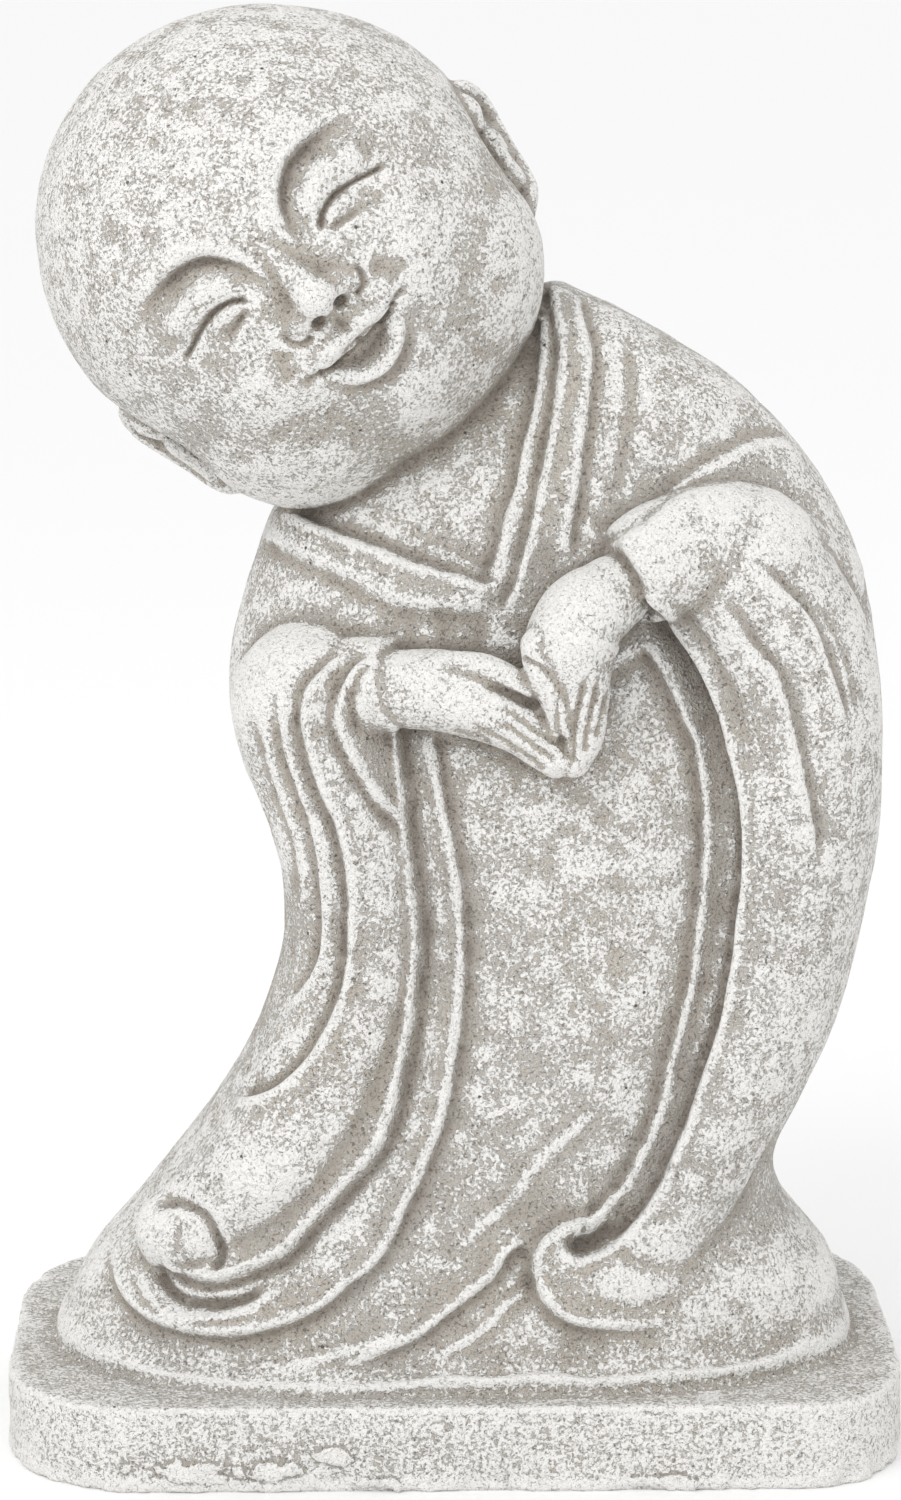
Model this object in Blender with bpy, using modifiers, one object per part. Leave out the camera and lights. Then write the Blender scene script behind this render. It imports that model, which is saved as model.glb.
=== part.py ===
"""Small monk statue in cast stone, head tilted, hands joined at the fingertips, on its own low plinth.

The robe is a loft, the head a ball, and the arms, hands, nose and ears are tubes. They are fused into one
skin, the folds and features are carved into it along named lines, and the plinth is joined on.
Metres, +Z up, the monk faces -Y, and the origin is the centre of the plinth's underside.
"""

import math

import bmesh
import bpy
import numpy as np
from mathutils import Matrix, Vector

# Driving dimensions
FIGURE_HEIGHT = 0.470
PLINTH_THICKNESS = 0.030
PLINTH_SIDE_BORDER = 0.0145
PLINTH_FRONT_BORDER = 0.0118
PLINTH_CORNERS_ALONG = (0.022, 0.036, 0.050, 0.036)
PLINTH_CORNER_DEEP = 0.056
PLINTH_CORNER_STEPS = 8
PLINTH_EDGE_ROUNDING = 0.0016
FOOT_SUNK = 0.006

# Fineness of the model
VOXEL = 0.0020
ROBE_SMOOTHING_STEPS = 6
HEAD_SMOOTHING_STEPS = 80
FIGURE_SMOOTHING_STEPS = 2
LAST_SMOOTHING_STEPS = 1
TRIANGLES = 9200

STONE_COLOUR = (0.56, 0.53, 0.50, 1.0)
STONE_ROUGHNESS = 0.92

# Every place below is in hundredths of the figure's height: X, depth Y, and height Z above the plinth.
HUNDREDTH = FIGURE_HEIGHT / 100

# Robe: height, left side, right side, front, back
ROBE_STATIONS = (
    (0.0, -30.1, 30.2, -17.7, 16.6),
    (1.2, -30.1, 30.2, -17.7, 16.6),
    (2.4, -29.3, 29.6, -16.9, 15.9),
    (6.0, -27.4, 28.6, -16.2, 15.0),
    (10.7, -23.5, 25.0, -15.5, 14.2),
    (14.3, -20.7, 24.3, -14.9, 13.8),
    (18.8, -17.4, 26.2, -14.4, 13.4),
    (24.7, -14.3, 28.8, -13.9, 13.1),
    (31.7, -12.6, 30.6, -13.6, 13.0),
    (38.6, -13.5, 31.8, -13.4, 13.0),
    (45.5, -16.1, 32.0, -13.0, 12.9),
    (52.3, -16.5, 31.5, -12.4, 12.6),
    (59.0, -14.7, 30.2, -11.6, 12.0),
    (63.5, -12.9, 28.3, -10.8, 11.4),
    (68.0, -8.4, 25.2, -9.4, 10.6),
    (72.5, -2.6, 20.7, -7.6, 9.4),
    (76.9, 3.4, 13.6, -5.0, 7.4),
    (79.4, 6.6, 8.2, -2.0, 4.0),
)
ROBE_RING_POINTS = 96
ROBE_RINGS = 100
ROBE_SQUARENESS = 2.6

# Head: its middle, the skull's half sizes and lean, the face's radius, lean to the monk's right and turn
HEAD_CENTRE = (-12.0, -0.9, 82.25)
SKULL_RADII = (17.3, 17.4, 19.0)
SKULL_LEAN = math.radians(-58)
FACE_RADIUS = 18.0
HEAD_LEAN = math.radians(-44)
HEAD_TURN = math.radians(0.8)

STATUE = bpy.data.collections.new("monk_statue")


def metres(place):
    """A place in hundredths of the figure's height, as metres above the plinth's underside."""
    x, y, z = place
    return (x * HUNDREDTH, y * HUNDREDTH, z * HUNDREDTH + PLINTH_THICKNESS)


def smooth_step(t):
    t = np.clip(t, 0.0, 1.0)
    return t * t * (3 - 2 * t)


def smooth_line(points, per_span=8):
    """Points on a smooth curve through the given ones."""
    p = np.array(points, float)
    p = np.vstack([2 * p[0] - p[1], p, 2 * p[-1] - p[-2]])
    t = np.linspace(0, 1, per_span, endpoint=False)[:, None]
    spans = [
        0.5 * (2 * b + (c - a) * t + (2 * a - 5 * b + 4 * c - d) * t**2 + (3 * b - a - 3 * c + d) * t**3)
        for a, b, c, d in zip(p, p[1:], p[2:], p[3:])
    ]
    return np.vstack([*spans, p[-2:-1]])


def smooth_stations(stations, heights):
    """The stations' columns at the given heights, on smooth curves through the stations."""
    line = smooth_line(stations, 12)
    return np.column_stack([np.interp(heights, line[:, 0], column) for column in line[:, 1:].T])


def new_object(name, data):
    obj = bpy.data.objects.new(name, data)
    STATUE.objects.link(obj)
    return obj


def from_bmesh(name, bm):
    mesh = bpy.data.meshes.new(name)
    bm.to_mesh(mesh)
    bm.free()
    return new_object(name, mesh)


def evaluated_mesh(obj):
    graph = bpy.context.evaluated_depsgraph_get()
    return bpy.data.meshes.new_from_object(obj.evaluated_get(graph))


def bake(obj):
    """Applies the object's modifiers to its mesh."""
    mesh = evaluated_mesh(obj)
    obj.modifiers.clear()
    obj.data = mesh


def robe_loft():
    """The robe as rings of squared ovals between its two sides, its front and its back."""
    foot = -FOOT_SUNK / HUNDREDTH
    stations = ((foot, *ROBE_STATIONS[0][1:]), *ROBE_STATIONS)
    heights = np.linspace(foot, ROBE_STATIONS[-1][0], ROBE_RINGS)
    angles = np.arange(ROBE_RING_POINTS) * 2 * math.pi / ROBE_RING_POINTS
    power = 2 / ROBE_SQUARENESS
    across = np.sign(np.cos(angles)) * np.abs(np.cos(angles)) ** power
    deep = np.sign(np.sin(angles)) * np.abs(np.sin(angles)) ** power
    bm = bmesh.new()
    rings = []
    for z, (left, right, front, back) in zip(heights, smooth_stations(stations, heights)):
        x = (left + right) / 2 + (right - left) / 2 * across
        y = np.where(deep < 0, -front * deep, back * deep)
        rings.append([bm.verts.new(metres(place)) for place in zip(x, y, np.full_like(x, z))])
    for low, high in zip(rings, rings[1:]):
        for i in range(ROBE_RING_POINTS):
            j = (i + 1) % ROBE_RING_POINTS
            bm.faces.new((low[i], low[j], high[j], high[i]))
    bm.faces.new(rings[0][::-1])
    bm.faces.new(rings[-1])
    return from_bmesh("robe", bm)


def tube(name, stops, open_cuff=False):
    """A round limb through stops of (place, radius), with a ball at each end, or a flat last end."""
    line = smooth_line([(*place, radius) for place, radius in stops])
    curve = bpy.data.curves.new(name, "CURVE")
    curve.dimensions = "3D"
    curve.bevel_depth = HUNDREDTH
    curve.bevel_resolution = 4
    curve.use_fill_caps = True
    spline = curve.splines.new("POLY")
    spline.points.add(len(line) - 1)
    for point, (*place, radius) in zip(spline.points, line):
        point.co = (*metres(place), 1)
        point.radius = radius
    guide = new_object(name, curve)
    mesh = evaluated_mesh(guide)
    bpy.data.objects.remove(guide)
    bm = bmesh.new()
    bm.from_mesh(mesh)
    for place, radius in stops[:1] if open_cuff else (stops[0], stops[-1]):
        matrix = Matrix.Translation(metres(place))
        bmesh.ops.create_uvsphere(bm, u_segments=20, v_segments=12, radius=radius * HUNDREDTH, matrix=matrix)
    return from_bmesh(name, bm)


def ball(name, centre, radii, lean=0.0):
    """An egg-shaped mass, leaning to the monk's right where lean is negative."""
    bm = bmesh.new()
    size = Matrix.Diagonal([r * HUNDREDTH for r in radii] + [1])
    matrix = Matrix.Translation(metres(centre)) @ Matrix.Rotation(lean, 4, "Y") @ size
    bmesh.ops.create_uvsphere(bm, u_segments=64, v_segments=48, radius=1, matrix=matrix)
    return from_bmesh(name, bm)


def fused(name, pieces, smoothing):
    """The pieces as one skin, with the creases between them softened."""
    bm = bmesh.new()
    for piece in pieces:
        bm.from_mesh(piece.data)
        bpy.data.objects.remove(piece)
    skin = from_bmesh(name, bm)
    remesh = skin.modifiers.new("fuse", "REMESH")
    remesh.mode = "VOXEL"
    remesh.voxel_size = VOXEL
    soften = skin.modifiers.new("soften", "SMOOTH")
    soften.factor = 0.5
    soften.iterations = smoothing
    bake(skin)
    return skin


def along(x, z, path):
    """How far the points are from a path, on which side (left of its travel is 1), and how far along it."""
    line = smooth_line(path, 6)
    run = np.diff(line, axis=0)
    lengths = np.linalg.norm(run, axis=1)
    passed = np.cumsum(lengths) - lengths
    gap, side, share = np.full(len(x), np.inf), np.zeros(len(x)), np.zeros(len(x))
    for (ax, az), (rx, rz), length, before in zip(line, run, lengths, passed):
        dx, dz = x - ax, z - az
        t = np.clip((dx * rx + dz * rz) / length**2, 0, 1)
        away = np.hypot(dx - t * rx, dz - t * rz)
        nearer = away < gap
        gap = np.where(nearer, away, gap)
        side = np.where(nearer, np.sign(rx * dz - rz * dx), side)
        share = np.where(nearer, (before + t * length) / lengths.sum(), share)
    return gap, side, share


def tapered(share, start, end):
    """Fades a stroke in and out over these shares of its length."""
    fade = np.ones(len(share))
    if start:
        fade *= smooth_step(share / start)
    if end:
        fade *= smooth_step((1 - share) / end)
    return fade


def groove(path, width, depth, taper=(0.2, 0.2)):
    """A carved line. A negative depth raises a ridge."""

    def height(x, z):
        gap, _, share = along(x, z, path)
        return -depth * np.exp(-((gap / width) ** 2)) * tapered(share, *taper)

    return height, path, 3 * width


def edge(path, side, rise, drop, rise_fade, drop_fade, soft=0.35, taper=(0.08, 0.08)):
    """A cloth's edge. The cloth stands up on the side 1, left of the path's travel, or on the side -1."""

    def height(x, z):
        gap, sign, share = along(x, z, path)
        out = side * sign * gap
        up = rise * np.exp(-np.maximum(out, 0) / rise_fade)
        down = -drop * np.exp(-np.maximum(-out, 0) / drop_fade)
        return (down + (up - down) * smooth_step(0.5 + 0.5 * out / soft)) * tapered(share, *taper)

    return height, path, 4 * max(rise_fade, drop_fade)


def mound(centre, radii, rise, turn=0.0):
    """A soft swelling turned by an angle, or a hollow where rise is negative."""
    (cx, cz), (rx, rz) = centre, radii

    def height(x, z):
        u = (x - cx) * math.cos(turn) + (z - cz) * math.sin(turn)
        v = (z - cz) * math.cos(turn) - (x - cx) * math.sin(turn)
        return rise * np.exp(-((u / rx) ** 2) - (v / rz) ** 2)

    return height, [centre], 2.5 * max(rx, rz)


def both_sides(stroke, path, *sizes, **options):
    """The stroke and its mirror image. An edge's side is mirrored too."""
    mirror = [(-x, z) for x, z in path]
    if stroke is edge:
        side, *rest = sizes
        return [edge(path, side, *rest, **options), edge(mirror, -side, *rest, **options)]
    return [stroke(path, *sizes, **options), stroke(mirror, *sizes, **options)]


def relief(strokes, x, z):
    """The sum of the strokes' heights at the points x, z."""
    total = np.zeros(len(x))
    for height, path, reach in strokes:
        low, high = np.min(path, axis=0) - reach, np.max(path, axis=0) + reach
        near = (x > low[0]) & (x < high[0]) & (z > low[1]) & (z < high[1])
        if near.any():
            total[near] += height(x[near], z[near])
    return total


def carve(obj, heights_at):
    """Moves the vertices along their normals by heights_at(places, normals), all in hundredths."""
    mesh = obj.data
    places, normals = np.empty(len(mesh.vertices) * 3), np.empty(len(mesh.vertices) * 3)
    mesh.vertices.foreach_get("co", places)
    mesh.vertex_normals.foreach_get("vector", normals)
    places, normals = places.reshape(-1, 3), normals.reshape(-1, 3)
    hundredths = (places - (0, 0, PLINTH_THICKNESS)) / HUNDREDTH
    rise = heights_at(hundredths, normals) * HUNDREDTH
    mesh.vertices.foreach_set("co", (places + normals * rise[:, None]).ravel())
    mesh.update()


# Edges of the sleeves, their linings and the collar, seen from the front
RIGHT_SLEEVE_EDGE = (
    (-4.8, 54.6), (-4.5, 52.7), (-4.1, 49.5), (-3.9, 46.3), (-3.6, 43.4), (-3.4, 40.5), (-2.9, 36.5),
    (-2.6, 33.3), (-2.8, 29.9), (-3.1, 26.7), (-3.7, 23.7), (-4.6, 19.8), (-5.9, 17.1), (-8.0, 14.7),
    (-10.6, 11.9), (-12.4, 9.9), (-14.3, 8.8), (-16.5, 7.8), (-18.1, 7.4), (-19.7, 7.5), (-21.1, 7.8),
    (-22.0, 8.4),
)
RIGHT_LINING_EDGE = (
    (-1.9, 48.6), (-1.4, 46.2), (-0.8, 43.0), (-0.3, 40.6), (0.2, 37.9), (0.5, 34.9), (0.6, 31.3),
    (0.4, 27.7), (-0.1, 24.0), (-0.8, 20.2), (-1.6, 18.0), (-2.7, 15.4), (-3.7, 13.4), (-4.7, 11.2),
    (-6.1, 9.2), (-7.9, 7.8), (-9.8, 6.2), (-12.2, 5.0), (-15.3, 4.0), (-18.1, 3.7), (-20.7, 3.8),
    (-23.0, 4.3), (-24.9, 5.4), (-25.7, 7.0), (-25.0, 9.2), (-23.5, 11.3),
)
LEFT_SLEEVE_EDGE = (
    (10.4, 61.5), (12.1, 60.2), (13.9, 58.2), (15.8, 55.6), (17.3, 53.5), (18.5, 50.7), (19.4, 47.9),
    (20.1, 44.7), (20.4, 42.5), (20.5, 39.9), (20.4, 37.1), (20.1, 34.5), (19.9, 32.0), (19.5, 29.5),
    (18.8, 26.4), (17.8, 23.3), (16.8, 20.0), (15.8, 17.5), (14.7, 15.0), (13.3, 12.9), (12.0, 11.4),
    (10.9, 10.6), (10.0, 10.2), (8.8, 10.0), (8.0, 10.4), (7.4, 11.3),
)
LEFT_LINING_EDGE = (
    (13.4, 54.9), (15.1, 52.2), (16.4, 49.2), (17.3, 47.2), (17.8, 44.2), (18.0, 40.9), (17.9, 38.4),
    (17.7, 35.8), (17.4, 33.3), (17.0, 30.0), (16.4, 27.4), (15.5, 23.8), (15.0, 21.0), (14.1, 18.6),
    (13.3, 16.9), (12.3, 15.0), (11.3, 14.0), (10.5, 13.2), (9.7, 12.7), (8.4, 12.5), (7.2, 12.0),
    (6.2, 11.2), (5.6, 10.0), (5.5, 8.8), (6.0, 7.2), (7.2, 5.7), (9.0, 4.8), (11.5, 4.5), (13.7, 4.4),
    (16.5, 4.6),
)
COLLAR_RIGHT_TOP = (
    (-13.0, 63.8), (-11.1, 63.2), (-9.2, 62.6), (-7.6, 62.1), (-5.5, 61.5), (-3.6, 60.7), (-1.2, 60.1),
    (0.9, 59.5), (2.8, 58.9),
)
COLLAR_RIGHT_BOTTOM = (
    (-13.0, 60.9), (-11.1, 60.3), (-8.1, 59.2), (-5.0, 57.8), (-2.6, 57.2), (0.6, 57.1), (2.8, 57.3),
)
COLLAR_LEFT_INNER = (
    (6.4, 78.2), (6.2, 75.6), (5.7, 72.0), (4.8, 68.6), (4.3, 66.1), (3.4, 63.6), (2.9, 61.4), (2.1, 59.5),
)
COLLAR_LEFT_MIDDLE = (
    (6.9, 79.4), (7.5, 75.6), (7.3, 73.1), (6.8, 70.1), (6.0, 66.4), (5.5, 63.9), (4.8, 61.3), (4.1, 58.9),
    (3.0, 56.9),
)
COLLAR_LEFT_OUTER = (
    (9.4, 78.3), (10.0, 75.2), (9.8, 72.4), (9.4, 69.4), (9.0, 66.4), (8.5, 63.5), (8.1, 60.7),
)
HEM_TOP = (
    (-25.5, 1.4), (-21.0, 0.9), (-16.0, 0.8), (-9.5, 0.8), (-5.5, 1.0), (-1.6, 1.5), (2.7, 1.5), (7.0, 1.7),
    (9.7, 1.3), (12.5, 1.3), (14.4, 1.5), (17.6, 1.4), (20.4, 1.4), (24.8, 1.7), (27.0, 2.4),
)
SLEEVE_FOLDS_RIGHT = (
    (
        (-3.6, 55.7), (-5.8, 54.6), (-7.4, 53.6), (-8.4, 51.8), (-8.8, 49.9), (-8.4, 48.2), (-7.2, 45.7),
        (-6.0, 43.7), (-4.6, 41.9), (-3.8, 40.3),
    ),
    (
        (-7.9, 54.9), (-9.1, 53.8), (-10.5, 52.5), (-11.1, 51.4), (-11.2, 49.2), (-10.7, 46.7),
        (-9.9, 44.3), (-8.8, 41.9), (-8.2, 39.4), (-7.9, 36.9), (-7.9, 34.4), (-8.1, 31.4), (-8.7, 28.9),
        (-9.7, 26.6), (-10.9, 24.6), (-12.7, 22.6), (-14.9, 21.2), (-18.0, 20.0),
    ),
    (
        (-12.9, 52.5), (-12.9, 51.0), (-12.8, 49.0), (-12.4, 46.6), (-11.6, 44.3), (-10.6, 41.7),
        (-10.1, 38.9), (-9.9, 36.1), (-9.9, 33.6), (-10.3, 31.3), (-11.4, 29.3), (-13.0, 27.0),
    ),
    (
        (-14.8, 50.5), (-14.4, 48.9), (-13.7, 45.9), (-12.8, 42.9), (-11.8, 40.0), (-11.5, 36.9),
        (-11.5, 34.2),
    ),
    ((-4.6, 54.9), (-6.7, 53.4), (-7.5, 51.3), (-7.2, 49.2), (-6.5, 47.6)),
)
SLEEVE_FOLDS_LEFT = (
    (
        (21.0, 61.3), (22.5, 60.0), (24.1, 58.4), (25.6, 56.6), (26.6, 54.3), (27.4, 51.8), (28.0, 49.9),
        (28.3, 48.6),
    ),
    (
        (18.8, 58.8), (20.1, 57.0), (21.4, 55.0), (22.9, 53.2), (23.8, 50.9), (24.4, 48.4), (25.0, 45.8),
        (25.5, 43.5,
    ),
     (25.9, 41.3), (25.9, 38.5)),
    ((25.2, 58.7), (26.7, 56.4), (27.8, 54.1), (28.5, 51.5), (29.0, 48.3)),
    ((14.5, 59.6), (17.0, 56.6), (18.9, 53.6), (20.4, 50.0), (21.3, 46.0)),
)
SHOULDER_EDGE = ((10.6, 61.6), (11.8, 62.9), (13.8, 64.2), (17.6, 67.0), (22.1, 68.8), (26.5, 68.0))
SKIRT_FOLD = (
    (5.0, 10.9), (3.7, 9.9), (2.9, 8.6), (1.7, 7.5), (-0.6, 5.7), (-2.6, 4.2), (-4.5, 3.3), (-6.9, 2.4),
    (-9.3, 1.7),
)
POCKET_RIGHT = ((-13.5, 7.7), (-16.3, 6.3), (-18.9, 5.9), (-20.6, 6.1), (-21.8, 6.9), (-22.4, 8.0))
POCKET_LIP = (
    (-12.6, 8.0), (-15.3, 5.9), (-18.1, 5.0), (-20.3, 4.7), (-21.8, 5.1), (-23.0, 6.2), (-23.3, 7.6),
)
KNOB_CREASE = (
    (-22.8, 12.0), (-21.5, 12.9), (-20.0, 13.1), (-18.4, 12.4), (-17.5, 10.8), (-17.2, 9.3), (-18.1, 8.0),
)
FRONT_STROKES = (
    edge(RIGHT_SLEEVE_EDGE, -1, 0.35, 1.25, 3.0, 1.5, soft=0.42, taper=(0.08, 0.03)),
    edge(RIGHT_LINING_EDGE, -1, 0.3, 0.7, 0.8, 5.0, soft=0.3, taper=(0.02, 0.15)),
    edge(LEFT_SLEEVE_EDGE, 1, 0.4, 1.8, 4.0, 1.6, soft=0.35, taper=(0.01, 0.04)),
    edge(LEFT_LINING_EDGE, 1, 0.35, 0.75, 0.9, 5.0, soft=0.3, taper=(0.02, 0.12)),
    mound((7.5, 31.0), (8.0, 22.0), 0.7),
    edge(COLLAR_RIGHT_TOP, -1, 0.45, 0.75, 1.2, 4.0, soft=0.3, taper=(0, 0.05)),
    edge(COLLAR_RIGHT_BOTTOM, 1, 0.3, 0.45, 1.4, 2.5, soft=0.7, taper=(0, 0.1)),
    edge(COLLAR_LEFT_INNER, 1, 0.5, 0.6, 0.8, 4.0, soft=0.3, taper=(0, 0.05)),
    edge(COLLAR_LEFT_MIDDLE, 1, 0.5, 0.9, 0.8, 0.55, soft=0.3, taper=(0, 0.06)),
    edge(COLLAR_LEFT_OUTER, -1, 0.3, 0.7, 1.0, 0.8, soft=0.3, taper=(0, 0.1)),
    groove(((12.5, 77.0), (12.8, 72.0), (12.0, 67.5), (11.0, 64.0)), 0.6, 0.25),
    edge(HEM_TOP, -1, 0.35, 0.4, 1.5, 1.5, soft=0.3),
    # Folds of the monk's right sleeve
    edge(SLEEVE_FOLDS_RIGHT[0], 1, 0.35, 0.8, 0.7, 0.8, soft=0.3, taper=(0.1, 0.15)),
    edge(SLEEVE_FOLDS_RIGHT[1], 1, 0.4, 1.0, 0.9, 1.0, soft=0.3, taper=(0.08, 0.1)),
    edge(SLEEVE_FOLDS_RIGHT[2], 1, 0.3, 0.6, 0.7, 0.8, soft=0.3, taper=(0.15, 0.2)),
    edge(SLEEVE_FOLDS_RIGHT[3], 1, 0.2, 0.35, 0.7, 0.7, soft=0.3, taper=(0.2, 0.3)),
    groove(SLEEVE_FOLDS_RIGHT[4], 0.3, 0.35, taper=(0.2, 0.3)),
    mound((-12.6, 16.4), (6.0, 3.2), 0.7, turn=0.75),
    # Folds of the monk's left sleeve
    edge(SLEEVE_FOLDS_LEFT[0], -1, 0.3, 0.5, 1.2, 0.9, soft=0.3, taper=(0.2, 0.15)),
    edge(SLEEVE_FOLDS_LEFT[1], -1, 0.3, 0.55, 1.4, 1.0, soft=0.3, taper=(0.2, 0.15)),
    edge(SLEEVE_FOLDS_LEFT[2], -1, 0.15, 0.25, 1.0, 0.8, soft=0.3, taper=(0.3, 0.3)),
    groove(SLEEVE_FOLDS_LEFT[3], 0.5, 0.3, taper=(0.3, 0.4)),
    edge(SHOULDER_EDGE, -1, 0.5, 0.5, 2.0, 2.0, soft=0.6),
    # Low folds of the skirt between the sleeve ends
    edge(SKIRT_FOLD, -1, 0.3, 0.5, 0.8, 2.0, soft=0.3, taper=(0.03, 0.25)),
    groove(
        ((-3.0, 5.0), (-5.5, 3.9), (-9.4, 2.7), (-12.0, 2.0), (-14.5, 1.5)), 0.3, -0.25, taper=(0.3, 0.3),
    ),
    groove(((5.4, 7.6), (3.5, 6.2), (2.3, 4.9), (-0.1, 3.4), (-2.6, 2.4)), 0.28, -0.25, taper=(0.1, 0.3)),
    mound((5.2, 7.9), (1.1, 1.7), -0.5, turn=-0.5),
    groove(
        ((11.0, 21.4), (9.2, 19.8), (6.8, 17.7), (5.3, 15.9), (3.9, 13.9), (1.7, 12.1), (0.0, 10.0)), 0.45,
        -0.25,
    ),
    # Curled ends of the sleeves
    groove(POCKET_RIGHT, 0.4, 1.0, taper=(0.3, 0.1)),
    groove(POCKET_LIP, 0.3, -0.35, taper=(0.3, 0.1)),
    groove(KNOB_CREASE, 0.38, 0.7, taper=(0.25, 0.1)),
    groove(((12.0, 12.6), (10.4, 11.3), (8.9, 10.9), (8.0, 11.4)), 0.35, 0.6, taper=(0.4, 0.05)),
    groove(((-16.5, 19.4), (-20.0, 15.5), (-23.6, 13.2), (-27.0, 9.5)), 0.6, 0.25),
)

# Long plain folds, the collar and the sleeves' outlines, seen through from the front onto the back
BACK_STROKES = (
    edge(
        ((-14.5, 60.5), (-8.0, 59.6), (0.0, 61.6), (6.5, 66.5), (9.6, 72.5), (10.2, 79.0)), 1, 0.6, 0.5,
        2.2, 2.5,
    ),
    edge(
        ((-13.0, 57.0), (-8.5, 48.0), (-6.5, 38.0), (-7.5, 27.0), (-12.0, 18.0), (-19.5, 10.5)), -1, 0.5,
        1.0, 4.0, 2.2,
    ),
    edge(
        ((24.0, 66.0), (22.5, 54.0), (22.8, 42.0), (21.5, 29.0), (17.5, 18.5), (12.0, 11.0)), 1, 0.5, 1.0,
        4.0, 2.2,
    ),
    groove(
        ((13.0, 63.0), (15.5, 50.0), (15.0, 36.0), (10.0, 20.0), (2.5, 9.0)), 1.5, 0.8, taper=(0.3, 0.2),
    ),
    groove(((5.0, 60.0), (8.0, 46.0), (6.5, 31.0), (0.5, 16.0), (-7.0, 6.5)), 1.5, 0.8, taper=(0.3, 0.2)),
    groove(
        ((-3.0, 56.0), (0.0, 44.0), (-1.5, 32.0), (-7.0, 19.0), (-14.0, 8.5)), 1.4, 0.7, taper=(0.3, 0.2),
    ),
    groove(((27.5, 55.0), (28.2, 43.0), (26.5, 31.0)), 1.2, 0.6, taper=(0.4, 0.4)),
    edge(HEM_TOP, -1, 0.3, 0.45, 1.5, 1.5, soft=0.3),
)

# Hands, seen from the front, and how far forward the chest is left alone
HAND_DEPTH = -14.3
HAND_STROKES = (
    groove(((1.4, 52.6), (2.9, 52.2), (4.4, 51.5), (5.9, 50.8)), 0.32, 0.42, taper=(0.4, 0.05)),
    groove(((1.6, 50.7), (3.4, 49.8), (5.0, 48.6), (7.2, 46.9)), 0.3, 0.2, taper=(0.5, 0.15)),
    groove(((0.6, 49.7), (2.4, 49.0), (4.1, 47.9), (6.6, 46.0)), 0.3, 0.22, taper=(0.4, 0.15)),
    groove(((2.6, 51.3), (4.2, 50.3), (5.8, 49.1), (7.7, 47.8)), 0.3, 0.2, taper=(0.4, 0.15)),
    groove(((7.2, 52.0), (7.1, 50.1), (7.5, 48.4), (7.9, 47.0)), 0.3, 0.25, taper=(0.3, 0.1)),
    groove(((9.2, 53.6), (8.8, 51.7), (8.5, 50.3), (8.3, 48.8), (8.3, 46.6)), 0.3, 0.3, taper=(0.25, 0.1)),
    groove(((10.2, 53.4), (9.7, 51.1), (9.4, 49.8), (9.1, 47.4)), 0.3, 0.3, taper=(0.25, 0.1)),
    groove(((11.0, 52.4), (10.4, 50.1), (10.0, 48.4)), 0.3, 0.28, taper=(0.3, 0.15)),
    groove(((4.6, 54.6), (5.8, 54.1), (6.9, 53.0)), 0.25, 0.3, taper=(0.05, 0.5)),
)

# The face is laid out in shares of the head's radius, across and up from its middle
BROW = (
    (0.1, -0.03), (0.1, 0.08), (0.125, 0.16), (0.175, 0.235), (0.25, 0.29), (0.35, 0.31), (0.47, 0.295),
    (0.6, 0.255),
)
EYE_LINE = (
    (0.195, 0.012), (0.225, 0.045), (0.27, 0.072), (0.34, 0.082), (0.42, 0.066), (0.49, 0.04), (0.56, 0.02),
)
UPPER_LID = ((0.19, 0.07), (0.23, 0.12), (0.30, 0.16), (0.38, 0.165), (0.46, 0.14), (0.53, 0.09))
MOUTH_CORNER = 0.2
MOUTH_TOP = -0.4
MOUTH_BOTTOM = -0.52
MOUTH_CORNER_UP = -0.378
LIP_BOW = (
    (-0.19, -0.405), (-0.155, -0.46), (-0.10, -0.515), (0.0, -0.545), (0.10, -0.515), (0.155, -0.46),
    (0.19, -0.405),
)
LIP_CREASE = ((-0.20, -0.45), (-0.13, -0.54), (0.0, -0.59), (0.13, -0.54), (0.20, -0.45))


def mouth_hollow(x, z):
    """The open smile: a flat top line and a bowed lower one."""
    bow = (x / MOUTH_CORNER) ** 2
    top = MOUTH_TOP + (MOUTH_CORNER_UP - MOUTH_TOP) * bow
    bottom = MOUTH_BOTTOM + (MOUTH_CORNER_UP - MOUTH_BOTTOM) * bow
    inside = smooth_step((top - z) / 0.03) * smooth_step((z - bottom) / 0.05)
    return -0.055 * inside * (np.abs(x) < MOUTH_CORNER)


FACE_STROKES = (
    *both_sides(edge, BROW, 1, 0.014, 0.05, 0.3, 0.16, soft=0.03, taper=(0.5, 0.35)),
    *both_sides(groove, EYE_LINE, 0.02, 0.034, taper=(0.1, 0.12)),
    *both_sides(groove, UPPER_LID, 0.06, -0.038, taper=(0.25, 0.25)),
    mound((0.43, -0.30), (0.22, 0.2), 0.04),
    mound((-0.43, -0.30), (0.22, 0.2), 0.04),
    mound((0, -0.74), (0.2, 0.12), 0.03),
    (mouth_hollow, [(0, MOUTH_TOP)], 0.4),
    mound((0.075, -0.345), (0.085, 0.036), 0.03),
    mound((-0.075, -0.345), (0.085, 0.036), 0.03),
    groove(LIP_BOW, 0.03, -0.022, taper=(0.25, 0.2)),
    groove(LIP_CREASE, 0.035, 0.022, taper=(0.3, 0.3)),
    mound((0.062, -0.232), (0.03, 0.025), -0.035),
    mound((-0.062, -0.232), (0.03, 0.025), -0.035),
)
NECK = (((3.0, 0.5, 66.0), 7.5), ((-3.0, 0.0, 74.0), 7.5))
NOSE_RIDGE = (((0, -0.9, 0.17), 0.045), ((0, -0.935, 0.0), 0.062), ((0, -0.965, -0.145), 0.088))
NOSTRIL = (((0.04, -0.93, -0.15), 0.075), ((0.112, -0.885, -0.168), 0.072))
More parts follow.
